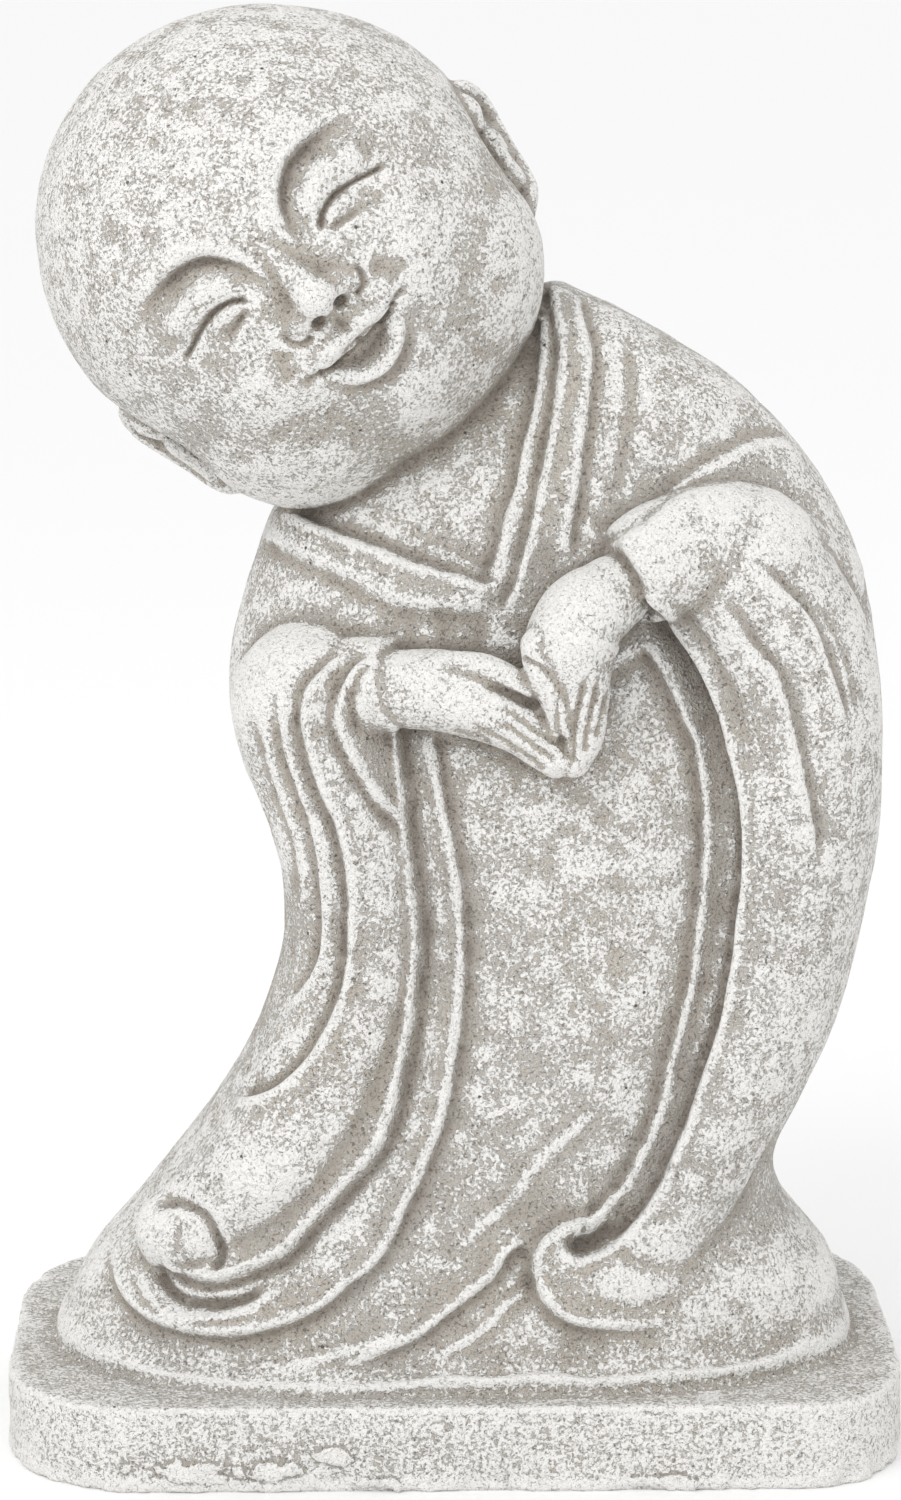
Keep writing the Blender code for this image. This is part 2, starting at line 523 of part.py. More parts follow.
CHEEK = (((0.30, -0.20, -0.38), 0.56), ((0.31, -0.20, -0.37), 0.56))
EAR_HELIX = (
    ((0.89, -0.02, 0.01), 0.04),
    ((0.95, 0.05, -0.035), 0.04),
    ((0.972, 0.1, -0.1), 0.032),
    ((0.967, 0.12, -0.17), 0.03),
    ((0.943, 0.11, -0.25), 0.032),
    ((0.916, 0.09, -0.34), 0.035),
    ((0.893, 0.06, -0.43), 0.042),
    ((0.855, 0.01, -0.5), 0.054),
    ((0.80, -0.03, -0.545), 0.05),
)
EAR_PLATE = (
    ((0.89, 0.055, -0.07), 0.064), ((0.89, 0.06, -0.18), 0.068), ((0.87, 0.05, -0.3), 0.062),
    ((0.85, 0.03, -0.43), 0.06),
)
EAR_ROOT = (((0.9, -0.05, -0.03), 0.042), ((0.905, -0.08, -0.095), 0.056), ((0.89, -0.08, -0.15), 0.046))
EAR_RIDGE = (((0.895, -0.06, -0.235), 0.034), ((0.88, -0.06, -0.33), 0.034), ((0.86, -0.04, -0.44), 0.042))
EAR_HOLLOW = ((0.94, 0.02, -0.185), 0.05, 0.095)
EAR_BED = ((0.95, 0.0, -0.27), (0.3, 0.3, 0.25), 0.095)


def face_matrix():
    """From shares of the face's radius to hundredths of the figure's height."""
    lean = Matrix.Rotation(HEAD_LEAN, 4, "Y") @ Matrix.Rotation(HEAD_TURN, 4, "Z")
    return Matrix.Translation(HEAD_CENTRE) @ lean @ Matrix.Scale(FACE_RADIUS, 4)


def on_head(name, stops):
    """A tube whose stops are in shares of the face's radius."""
    matrix = face_matrix()
    return tube(name, [(tuple(matrix @ Vector(place)), radius * FACE_RADIUS) for place, radius in stops])


def in_face(places):
    """Places in hundredths, as shares of the face's radius: across, deep and up."""
    to_face = np.array(face_matrix().inverted())
    return to_face[:3, :3] @ places.T + to_face[:3, 3:]


def ear_bed(places, normals):
    """The skull is pressed in where the ears stand."""
    across, deep, up = in_face(places)
    centre, radii, depth = EAR_BED
    spots = zip((np.abs(across), deep, up), centre, radii)
    away = sum(((value - middle) / radius) ** 2 for value, middle, radius in spots)
    return -depth * np.exp(-away) * FACE_RADIUS


def feature(stops, side):
    """A tube of the face on one side of it."""
    return on_head("feature", [((side * x, y, z), radius) for (x, y, z), radius in stops])


def head_pieces():
    """The bald head with full cheeks, the neck, the nose and the long-lobed ears."""
    skull = ball("skull", HEAD_CENTRE, SKULL_RADII, SKULL_LEAN)
    head = fused("head", [skull, feature(CHEEK, -1), feature(CHEEK, 1)], HEAD_SMOOTHING_STEPS)
    carve(head, ear_bed)
    pieces = [head, tube("neck", NECK), on_head("nose", NOSE_RIDGE)]
    for side in (-1, 1):
        pieces += [feature(stops, side) for stops in (NOSTRIL, EAR_HELIX, EAR_PLATE, EAR_ROOT, EAR_RIDGE)]
    return pieces


# Curled sleeve ends: middles and half sizes
RIGHT_CURL = ((-20.3, -9.7, 10.3), (3.4, 3.0, 3.2))
LEFT_SLEEVE_END = ((11.5, -12.4, 7.4), (6.0, 3.4, 3.8))

# Arms and hanging sleeves: places and radii
RIGHT_FOREARM = (((-11.8, -3.0, 49.5), 4.4), ((-9.0, -9.0, 51.0), 4.1), ((-4.2, -12.4, 52.1), 3.2))
LEFT_FOREARM = (
    ((25.0, -3.0, 57.5), 5.4), ((20.0, -9.0, 61.0), 5.2), ((15.6, -11.6, 61.0), 4.4),
    ((12.4, -12.9, 59.8), 3.8),
)
RIGHT_SLEEVE = (
    ((-10.4, -8.6, 50.0), 6.0),
    ((-8.3, -9.0, 41.0), 5.2),
    ((-7.1, -9.2, 34.0), 4.7),
    ((-7.9, -9.2, 27.0), 4.8),
    ((-10.6, -9.0, 20.0), 5.1),
    ((-14.0, -9.2, 14.8), 5.0),
    ((-18.6, -9.2, 11.0), 3.9),
)
LEFT_SLEEVE = (
    ((20.4, -8.6, 59.5), 6.6),
    ((23.7, -7.8, 52.0), 7.2),
    ((24.0, -7.5, 44.0), 7.2),
    ((22.9, -7.6, 34.0), 6.8),
    ((20.6, -8.2, 25.0), 6.2),
    ((17.0, -9.2, 16.5), 5.3),
    ((13.8, -10.0, 10.5), 5.2),
)
RIGHT_HAND = (
    ((-4.8, -12.2, 51.6), 2.8),
    ((-1.0, -13.2, 51.6), 2.95),
    ((1.6, -13.8, 51.0), 2.9),
    ((4.4, -14.4, 49.4), 2.3),
    ((7.2, -14.8, 47.0), 1.55),
)
RIGHT_THUMB = (((-0.8, -14.0, 53.2), 1.5), ((2.2, -15.0, 53.4), 1.15), ((5.0, -15.8, 52.3), 0.8))
PALM = (((2.8, -13.7, 51.6), 1.8), ((5.6, -14.0, 50.8), 1.9))
LEFT_HAND = (
    ((11.2, -13.2, 58.6), 2.8),
    ((9.0, -14.2, 57.0), 3.3),
    ((8.2, -14.6, 54.6), 3.4),
    ((8.8, -14.8, 51.2), 2.2),
    ((8.9, -14.8, 48.6), 1.7),
    ((8.3, -14.8, 46.8), 1.35),
)
LEFT_THUMB = (
    ((5.9, -15.8, 55.4), 1.4), ((6.1, -16.2, 53.5), 1.25), ((6.9, -16.2, 51.4), 1.0),
    ((7.4, -15.8, 49.4), 0.8),
)


def robe_pieces():
    """The robe, the forearms in their sleeves and the curled sleeve ends."""
    return [
        robe_loft(),
        tube("right_forearm", RIGHT_FOREARM, open_cuff=True),
        tube("left_forearm", LEFT_FOREARM, open_cuff=True),
        tube("right_sleeve", RIGHT_SLEEVE),
        tube("left_sleeve", LEFT_SLEEVE),
        ball("right_curl", *RIGHT_CURL),
        ball("left_sleeve_end", *LEFT_SLEEVE_END),
    ]


def hand_pieces():
    """Two hands whose fingers point down and meet at the tips."""
    fingers = (
        ("right_hand", RIGHT_HAND), ("right_thumb", RIGHT_THUMB), ("left_hand", LEFT_HAND),
        ("left_thumb", LEFT_THUMB), ("palm", PALM),
    )
    return [tube(name, stops) for name, stops in fingers]


def robe_heights(places, normals):
    """The carving of the robe, from the front and from the back."""
    x, _, z = places.T
    front = smooth_step((-normals[:, 1] - 0.1) / 0.4)
    back = smooth_step((normals[:, 1] - 0.1) / 0.4)
    return relief(FRONT_STROKES, x, z) * front + relief(BACK_STROKES, x, z) * back


def face_heights(places, normals):
    """The carving of the face and of the fingers."""
    across, deep, up = in_face(places)
    on_face = smooth_step((-deep - 0.2) / 0.3) * (np.hypot(across, up) < 1.05)
    face = relief(FACE_STROKES, across, up) * on_face
    (x_ear, y_ear, z_ear), radius, depth = EAR_HOLLOW
    away = np.sqrt((np.abs(across) - x_ear) ** 2 + (deep - y_ear) ** 2 + (up - z_ear) ** 2)
    face -= depth * np.exp(-((away / radius) ** 2))
    x, y, z = places.T
    on_hand = smooth_step((HAND_DEPTH - y) / 0.8) * smooth_step((-normals[:, 1] - 0.1) / 0.4)
    return face * FACE_RADIUS + relief(HAND_STROKES, x, z) * on_hand


def decimated(obj, triangles):
    """Keeps about this many triangles, most of them where the form bends."""
    obj.modifiers.new("triangles", "TRIANGULATE")
    bake(obj)
    decimate = obj.modifiers.new("decimate", "DECIMATE")
    decimate.ratio = min(1.0, triangles / len(obj.data.polygons))
    bake(obj)


def figure():
    """The whole monk as one skin."""
    robe = fused("robe", robe_pieces(), ROBE_SMOOTHING_STEPS)
    carve(robe, robe_heights)
    skin = fused("figure", [robe, *head_pieces(), *hand_pieces()], FIGURE_SMOOTHING_STEPS)
    carve(skin, face_heights)
    skin = fused("figure", [skin], LAST_SMOOTHING_STEPS)
    decimated(skin, TRIANGLES)
    return skin


def plinth():
    """A slab around the hem with oval corners and softened edges."""
    _, left, right, front, _ = ROBE_STATIONS[0]
    half_wide = max(-left, right) * HUNDREDTH + PLINTH_SIDE_BORDER
    half_deep = -front * HUNDREDTH + PLINTH_FRONT_BORDER
    curve = bpy.data.curves.new("plinth", "CURVE")
    curve.dimensions = "2D"
    curve.fill_mode = "BOTH"
    curve.extrude = PLINTH_THICKNESS / 2
    outline = []
    corners = zip(((1, 1), (-1, 1), (-1, -1), (1, -1)), PLINTH_CORNERS_ALONG)
    for turn, ((side_x, side_y), corner_along) in enumerate(corners):
        for step in range(PLINTH_CORNER_STEPS + 1):
            angle = (turn + step / PLINTH_CORNER_STEPS) * math.pi / 2
            x = side_x * (half_wide - corner_along) + corner_along * math.cos(angle)
            y = side_y * (half_deep - PLINTH_CORNER_DEEP) + PLINTH_CORNER_DEEP * math.sin(angle)
            outline.append((x, y, 0, 1))
    spline = curve.splines.new("POLY")
    spline.points.add(len(outline) - 1)
    spline.points.foreach_set("co", [value for point in outline for value in point])
    spline.use_cyclic_u = True
    guide = new_object("plinth", curve)
    bm = bmesh.new()
    bm.from_mesh(evaluated_mesh(guide))
    bpy.data.objects.remove(guide)
    bmesh.ops.remove_doubles(bm, verts=bm.verts, dist=1e-5)
    bmesh.ops.translate(bm, verts=bm.verts, vec=(0, 0, PLINTH_THICKNESS / 2))
    slab = from_bmesh("plinth", bm)
    bevel = slab.modifiers.new("edges", "BEVEL")
    bevel.width = PLINTH_EDGE_ROUNDING
    bevel.segments = 2
    bevel.limit_method = "ANGLE"
    bevel.angle_limit = math.radians(40)
    bake(slab)
    return slab


def stone():
    material = bpy.data.materials.new("cast_stone")
    material.use_nodes = True
    shader = material.node_tree.nodes["Principled BSDF"]
    shader.inputs["Base Color"].default_value = STONE_COLOUR
    shader.inputs["Roughness"].default_value = STONE_ROUGHNESS
    shader.inputs["Metallic"].default_value = 0.0
    return material


def statue():
    """The figure and the plinth as one casting."""
    slab = plinth()
    monk = figure()
    union = slab.modifiers.new("cast_in_one", "BOOLEAN")
    union.operation = "UNION"
    union.object = monk
    bake(slab)
    bpy.data.objects.remove(monk)
    slab.name = "monk_statue"
    slab.data.name = "monk_statue"
    slab.data.materials.clear()
    slab.data.materials.append(stone())
    slab.data.shade_smooth()
    slab.data.set_sharp_from_angle(angle=math.radians(35))


for old in list(bpy.data.objects):
    bpy.data.objects.remove(old)
bpy.context.scene.collection.children.link(STATUE)
statue()
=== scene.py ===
"""A cast stone child monk with worn limewash, on its own low plinth, and the stage it stands on.

The sculpting repeats the solid's own sizes at a finer grain: masses are fused into one skin, then folds,
features, grain and chips are pushed into it along named lines. Metres, +Z up, the monk faces -Y.
"""

import itertools
import math

import bmesh
import bpy
import numpy as np
from mathutils import Matrix, Vector
from mathutils.bvhtree import BVHTree


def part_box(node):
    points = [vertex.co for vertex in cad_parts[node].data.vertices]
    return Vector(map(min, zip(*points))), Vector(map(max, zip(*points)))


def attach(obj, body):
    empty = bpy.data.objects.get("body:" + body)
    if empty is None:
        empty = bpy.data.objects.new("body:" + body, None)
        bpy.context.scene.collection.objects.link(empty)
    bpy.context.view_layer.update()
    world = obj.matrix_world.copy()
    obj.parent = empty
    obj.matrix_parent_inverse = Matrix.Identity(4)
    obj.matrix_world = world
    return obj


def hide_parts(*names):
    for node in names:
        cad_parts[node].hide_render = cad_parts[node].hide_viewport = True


bl_info = {
    "name": "Cast Stone Monk",
    "version": (1, 0, 0),
    "blender": (4, 5, 0),
    "location": "3D View > Sidebar > Monk",
    "description": "Sculpts a cast stone monk statue and gives it its limewashed finish",
    "category": "Object",
}

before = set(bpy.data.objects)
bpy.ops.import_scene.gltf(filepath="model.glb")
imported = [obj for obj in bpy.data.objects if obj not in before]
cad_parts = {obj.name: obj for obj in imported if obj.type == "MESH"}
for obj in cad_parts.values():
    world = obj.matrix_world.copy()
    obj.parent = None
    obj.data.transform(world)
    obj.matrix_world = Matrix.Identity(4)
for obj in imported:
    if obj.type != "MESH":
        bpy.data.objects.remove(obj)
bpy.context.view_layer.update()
_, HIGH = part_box("monk_statue")

# Plinth: its plan comes from the solid's box
PLINTH_THICKNESS = 0.030
PLINTH_CORNERS_ALONG = (0.022, 0.036, 0.050, 0.036)
PLINTH_CORNER_DEEP = 0.056
PLINTH_CORNER_STEPS = 16
PLINTH_EDGE_ROUNDING = 0.0016
FOOT_SUNK = 0.006

# Every place on the figure is in hundredths of its height: X, depth Y, and height Z above the plinth
FIGURE_HEIGHT = 0.470
HUNDREDTH = FIGURE_HEIGHT / 100
MILLIMETRE = 0.001

# Steps of smoothing after each fusing, and the height under which the underside is pressed flat
ROBE_SMOOTHING = 18
LAST_SMOOTHING = 1
FLAT_BELOW = 0.0006
MOST_TRIANGLES = 199999

# Robe: height, left side, right side, front, back
ROBE_STATIONS = (
    (0.0, -30.1, 30.2, -17.7, 16.6),
    (1.2, -30.1, 30.2, -17.7, 16.6),
    (2.4, -29.3, 29.6, -16.9, 15.9),
    (6.0, -27.4, 28.6, -16.2, 15.0),
    (10.7, -23.5, 25.0, -15.5, 14.2),
    (14.3, -20.7, 24.3, -14.9, 13.8),
    (18.8, -17.4, 26.2, -14.4, 13.4),
    (24.7, -14.3, 28.8, -13.9, 13.1),
    (31.7, -12.6, 30.6, -13.6, 13.0),
    (38.6, -13.5, 31.8, -13.4, 13.0),
    (45.5, -16.1, 32.0, -13.0, 12.9),
    (52.3, -16.5, 31.5, -12.4, 12.6),
    (59.0, -14.7, 30.2, -11.6, 12.0),
    (63.5, -12.9, 28.3, -10.8, 11.4),
    (68.0, -8.4, 25.2, -9.4, 10.6),
    (72.5, -2.6, 20.7, -7.6, 9.4),
    (76.9, 3.4, 13.6, -5.0, 7.4),
    (79.4, 6.6, 8.2, -2.0, 4.0),
)
ROBE_RING_POINTS = 160
ROBE_RINGS = 160
ROBE_SQUARENESS = 2.6

# Head: its middle, the skull's half sizes and lean, the face's radius, lean to the monk's right and turn
HEAD_CENTRE = (-12.0, -0.9, 82.25)
SKULL_RADII = (17.3, 17.4, 19.0)
SKULL_LEAN = math.radians(-58)
FACE_RADIUS = 18.0
HEAD_LEAN = math.radians(-44)
HEAD_TURN = math.radians(0.8)
HEAD_VOXEL = 0.002
HEAD_SMOOTHING = 80


def metres(place):
    """A place in hundredths of the figure's height, as metres above the plinth's underside."""
    x, y, z = place
    return (x * HUNDREDTH, y * HUNDREDTH, z * HUNDREDTH + PLINTH_THICKNESS)


def smooth_step(t):
    t = np.clip(t, 0.0, 1.0)
    return t * t * (3 - 2 * t)


def smooth_line(points, per_span=8):
    """Points on a smooth curve through the given ones."""
    p = np.array(points, float)
    p = np.vstack([2 * p[0] - p[1], p, 2 * p[-1] - p[-2]])
    t = np.linspace(0, 1, per_span, endpoint=False)[:, None]
    spans = [
        0.5 * (2 * b + (c - a) * t + (2 * a - 5 * b + 4 * c - d) * t**2 + (3 * b - a - 3 * c + d) * t**3)
        for a, b, c, d in zip(p, p[1:], p[2:], p[3:])
    ]
    return np.vstack([*spans, p[-2:-1]])


def smooth_stations(stations, heights):
    """The stations' columns at the given heights, on smooth curves through the stations."""
    line = smooth_line(stations, 12)
    return np.column_stack([np.interp(heights, line[:, 0], column) for column in line[:, 1:].T])


def new_object(name, data):
    obj = bpy.data.objects.new(name, data)
    bpy.context.scene.collection.objects.link(obj)
    return obj


def from_bmesh(name, bm):
    mesh = bpy.data.meshes.new(name)
    bm.to_mesh(mesh)
    bm.free()
    return new_object(name, mesh)


def evaluated_mesh(obj):
    graph = bpy.context.evaluated_depsgraph_get()
    return bpy.data.meshes.new_from_object(obj.evaluated_get(graph))


def bake(obj):
    """Applies the object's modifiers to its mesh."""
    mesh = evaluated_mesh(obj)
    obj.modifiers.clear()
    obj.data = mesh


def robe_loft():
    """The robe as rings of squared ovals between its two sides, its front and its back."""
    foot = -FOOT_SUNK / HUNDREDTH
    stations = ((foot, *ROBE_STATIONS[0][1:]), *ROBE_STATIONS)
    heights = np.linspace(foot, ROBE_STATIONS[-1][0], ROBE_RINGS)
    angles = np.arange(ROBE_RING_POINTS) * 2 * math.pi / ROBE_RING_POINTS
    power = 2 / ROBE_SQUARENESS
    across = np.sign(np.cos(angles)) * np.abs(np.cos(angles)) ** power
    deep = np.sign(np.sin(angles)) * np.abs(np.sin(angles)) ** power
    bm = bmesh.new()
    rings = []
    for z, (left, right, front, back) in zip(heights, smooth_stations(stations, heights)):
        x = (left + right) / 2 + (right - left) / 2 * across
        y = np.where(deep < 0, -front * deep, back * deep)
        rings.append([bm.verts.new(metres(place)) for place in zip(x, y, np.full_like(x, z))])
    for low, high in zip(rings, rings[1:]):
        for i in range(ROBE_RING_POINTS):
            j = (i + 1) % ROBE_RING_POINTS
            bm.faces.new((low[i], low[j], high[j], high[i]))
    bm.faces.new(rings[0][::-1])
    bm.faces.new(rings[-1])
    return from_bmesh("robe", bm)


def tube(name, stops, open_cuff=False):
    """A round limb through stops of (place, radius), with a ball at each end, or a flat last end."""
    line = smooth_line([(*place, radius) for place, radius in stops])
    curve = bpy.data.curves.new(name, "CURVE")
    curve.dimensions = "3D"
    curve.bevel_depth = HUNDREDTH
    curve.bevel_resolution = 10
    curve.use_fill_caps = True
    spline = curve.splines.new("POLY")
    spline.points.add(len(line) - 1)
    for point, (*place, radius) in zip(spline.points, line):
        point.co = (*metres(place), 1)
        point.radius = radius
    guide = new_object(name, curve)
    mesh = evaluated_mesh(guide)
    bpy.data.objects.remove(guide)
    bm = bmesh.new()
    bm.from_mesh(mesh)
    for place, radius in stops[:1] if open_cuff else (stops[0], stops[-1]):
        matrix = Matrix.Translation(metres(place))
        bmesh.ops.create_uvsphere(bm, u_segments=40, v_segments=24, radius=radius * HUNDREDTH, matrix=matrix)
    return from_bmesh(name, bm)


def ball(name, centre, radii, lean=0.0):
    """An egg-shaped mass, leaning to the monk's right where lean is negative."""
    bm = bmesh.new()
    size = Matrix.Diagonal([r * HUNDREDTH for r in radii] + [1])
    matrix = Matrix.Translation(metres(centre)) @ Matrix.Rotation(lean, 4, "Y") @ size
    bmesh.ops.create_uvsphere(bm, u_segments=160, v_segments=100, radius=1, matrix=matrix)
    return from_bmesh(name, bm)


def fused(name, pieces, voxel, smoothing):
    """The pieces as one skin, with the creases between them softened."""
    bm = bmesh.new()
    for piece in pieces:
        bm.from_mesh(piece.data)
        bpy.data.objects.remove(piece)
    skin = from_bmesh(name, bm)
    remesh = skin.modifiers.new("fuse", "REMESH")
    remesh.mode = "VOXEL"
    remesh.voxel_size = voxel
    soften = skin.modifiers.new("soften", "SMOOTH")
    soften.factor = 0.5
    soften.iterations = smoothing
    bake(skin)
    return skin


def along(x, z, path):
    """How far the points are from a path, on which side (left of its travel is 1), and how far along it."""
    line = smooth_line(path, 6)
    run = np.diff(line, axis=0)
    lengths = np.linalg.norm(run, axis=1)
    passed = np.cumsum(lengths) - lengths
    gap, side, share = np.full(len(x), np.inf), np.zeros(len(x)), np.zeros(len(x))
    for (ax, az), (rx, rz), length, before in zip(line, run, lengths, passed):
        dx, dz = x - ax, z - az
        t = np.clip((dx * rx + dz * rz) / length**2, 0, 1)
        away = np.hypot(dx - t * rx, dz - t * rz)
        nearer = away < gap
        gap = np.where(nearer, away, gap)
        side = np.where(nearer, np.sign(rx * dz - rz * dx), side)
        share = np.where(nearer, (before + t * length) / lengths.sum(), share)
    return gap, side, share


def tapered(share, start, end):
    """Fades a stroke in and out over these shares of its length."""
    fade = np.ones(len(share))
    if start:
        fade *= smooth_step(share / start)
    if end:
        fade *= smooth_step((1 - share) / end)
    return fade


def groove(path, width, depth, taper=(0.2, 0.2)):
    """A carved line. A negative depth raises a ridge."""

    def height(x, z):
        gap, _, share = along(x, z, path)
        return -depth * np.exp(-((gap / width) ** 2)) * tapered(share, *taper)

    return height, path, 3 * width


def edge(path, side, rise, drop, rise_fade, drop_fade, soft=0.3, lip=0.0, taper=(0.08, 0.08)):
    """A cloth's edge with a thin raised lip. The cloth is left of the path's travel (1) or right (-1)."""

    def height(x, z):
        gap, sign, share = along(x, z, path)
        out = side * sign * gap
        up = rise * np.exp(-np.maximum(out, 0) / rise_fade)
        down = -drop * np.exp(-np.maximum(-out, 0) / drop_fade)
        step = down + (up - down) * smooth_step(0.5 + 0.5 * out / soft)
        return (step + lip * np.exp(-(((out - soft) / 0.35) ** 2))) * tapered(share, *taper)

    return height, path, 4 * max(rise_fade, drop_fade)


def mound(centre, radii, rise, turn=0.0):
    """A soft swelling turned by an angle, or a hollow where rise is negative."""
    (cx, cz), (rx, rz) = centre, radii

    def height(x, z):
        u = (x - cx) * math.cos(turn) + (z - cz) * math.sin(turn)
        v = (z - cz) * math.cos(turn) - (x - cx) * math.sin(turn)
        return rise * np.exp(-((u / rx) ** 2) - (v / rz) ** 2)

    return height, [centre], 2.5 * max(rx, rz)


def both_sides(stroke, path, *sizes, **options):
    """The stroke and its mirror image. An edge's side is mirrored too."""
    mirror = [(-x, z) for x, z in path]
    if stroke is edge:
        side, *rest = sizes
        return [edge(path, side, *rest, **options), edge(mirror, -side, *rest, **options)]
    return [stroke(path, *sizes, **options), stroke(mirror, *sizes, **options)]


def relief(strokes, x, z):
    """The sum of the strokes' heights at the points x, z."""
    total = np.zeros(len(x))
    for height, path, reach in strokes:
        low, high = np.min(path, axis=0) - reach, np.max(path, axis=0) + reach
        near = (x > low[0]) & (x < high[0]) & (z > low[1]) & (z < high[1])
        if near.any():
            total[near] += height(x[near], z[near])
    return total


def vectors(source, name):
    """One row of three numbers for each item of a mesh's collection."""
    values = np.empty(len(source) * 3)
    source.foreach_get(name, values)
    return values.reshape(-1, 3)


def carve(obj, rise_at):
    """Moves the vertices along their normals by rise_at(places, normals), all in metres."""
    mesh = obj.data
    places, normals = vectors(mesh.vertices, "co"), vectors(mesh.vertex_normals, "vector")
    moved = places + normals * rise_at(places, normals)[:, None]
    mesh.vertices.foreach_set("co", moved.ravel())
    mesh.update()


def hundredths(places):
    return ((places - (0, 0, PLINTH_THICKNESS)) / HUNDREDTH).T


def grain(places, size, seed):
    """Smooth random heights between -1 and 1, in spots of this size."""
    spots = places / size + seed * 0.371
    cell = np.floor(spots).astype(int)
    share = smooth_step(spots - cell)
    table = np.random.default_rng(seed).uniform(-1, 1, (64, 64, 64))
    total = np.zeros(len(places))
    for corner in itertools.product((0, 1), repeat=3):
        weight = np.prod(np.where(corner, share, 1 - share), axis=1)
        total += weight * table[tuple(((cell + corner) % 64).T)]
    return total


# Edges of the sleeves, their linings and the collar, seen from the front
RIGHT_SLEEVE_EDGE = (
    (-4.8, 54.6), (-4.5, 52.7), (-4.1, 49.5), (-3.9, 46.3), (-3.6, 43.4), (-3.4, 40.5), (-2.9, 36.5),
    (-2.6, 33.3), (-2.8, 29.9), (-3.1, 26.7), (-3.7, 23.7), (-4.6, 19.8), (-5.9, 17.1), (-8.0, 14.7),
    (-10.6, 11.9), (-12.4, 9.9), (-14.3, 8.8), (-16.5, 7.8), (-18.1, 7.4), (-19.7, 7.5), (-21.1, 7.8),
    (-22.0, 8.4),
)
RIGHT_LINING_EDGE = (
    (-1.9, 48.6), (-1.4, 46.2), (-0.8, 43.0), (-0.3, 40.6), (0.2, 37.9), (0.5, 34.9), (0.6, 31.3),
    (0.4, 27.7), (-0.1, 24.0), (-0.8, 20.2), (-1.6, 18.0), (-2.7, 15.4), (-3.7, 13.4), (-4.7, 11.2),
    (-6.1, 9.2), (-7.9, 7.8), (-9.8, 6.2), (-12.2, 5.0), (-15.3, 4.0), (-18.1, 3.7), (-20.7, 3.8),
    (-23.0, 4.3), (-24.9, 5.4), (-25.7, 7.0), (-25.0, 9.2), (-23.5, 11.3),
)
LEFT_SLEEVE_EDGE = (
    (10.4, 61.5), (12.1, 60.2), (13.9, 58.2), (15.8, 55.6), (17.3, 53.5), (18.5, 50.7), (19.4, 47.9),
    (20.1, 44.7), (20.4, 42.5), (20.5, 39.9), (20.4, 37.1), (20.1, 34.5), (19.9, 32.0), (19.5, 29.5),
    (18.8, 26.4), (17.8, 23.3), (16.8, 20.0), (15.8, 17.5), (14.7, 15.0), (13.3, 12.9), (12.0, 11.4),
    (10.9, 10.6), (10.0, 10.2), (8.8, 10.0), (8.0, 10.4), (7.4, 11.3),
)
LEFT_LINING_EDGE = (
    (13.4, 54.9), (15.1, 52.2), (16.4, 49.2), (17.3, 47.2), (17.8, 44.2), (18.0, 40.9), (17.9, 38.4),
    (17.7, 35.8), (17.4, 33.3), (17.0, 30.0), (16.4, 27.4), (15.5, 23.8), (15.0, 21.0), (14.1, 18.6),
    (13.3, 16.9), (12.3, 15.0), (11.3, 14.0), (10.5, 13.2), (9.7, 12.7), (8.4, 12.5), (7.2, 12.0),
    (6.2, 11.2), (5.6, 10.0), (5.5, 8.8), (6.0, 7.2), (7.2, 5.7), (9.0, 4.8), (11.5, 4.5), (13.7, 4.4),
    (16.5, 4.6),
)
COLLAR_RIGHT_TOP = (
    (-13.0, 63.8), (-11.1, 63.2), (-9.2, 62.6), (-7.6, 62.1), (-5.5, 61.5), (-3.6, 60.7), (-1.2, 60.1),
    (0.9, 59.5), (2.8, 58.9),
)
COLLAR_RIGHT_BOTTOM = (
    (-13.0, 60.9), (-11.1, 60.3), (-8.1, 59.2), (-5.0, 57.8), (-2.6, 57.2), (0.6, 57.1), (2.8, 57.3),
)
COLLAR_LEFT_INNER = (
    (6.4, 78.2), (6.2, 75.6), (5.7, 72.0), (4.8, 68.6), (4.3, 66.1), (3.4, 63.6), (2.9, 61.4), (2.1, 59.5),
)
COLLAR_LEFT_MIDDLE = (
    (6.9, 79.4), (7.5, 75.6), (7.3, 73.1), (6.8, 70.1), (6.0, 66.4), (5.5, 63.9), (4.8, 61.3), (4.1, 58.9),
    (3.0, 56.9),
)
COLLAR_LEFT_OUTER = (
    (9.4, 78.3), (10.0, 75.2), (9.8, 72.4), (9.4, 69.4), (9.0, 66.4), (8.5, 63.5), (8.1, 60.7),
)
HEM_TOP = (
    (-25.5, 1.4), (-21.0, 0.9), (-16.0, 0.8), (-9.5, 0.8), (-5.5, 1.0), (-1.6, 1.5), (2.7, 1.5), (7.0, 1.7),
    (9.7, 1.3), (12.5, 1.3), (14.4, 1.5), (17.6, 1.4), (20.4, 1.4), (24.8, 1.7), (27.0, 2.4),
)
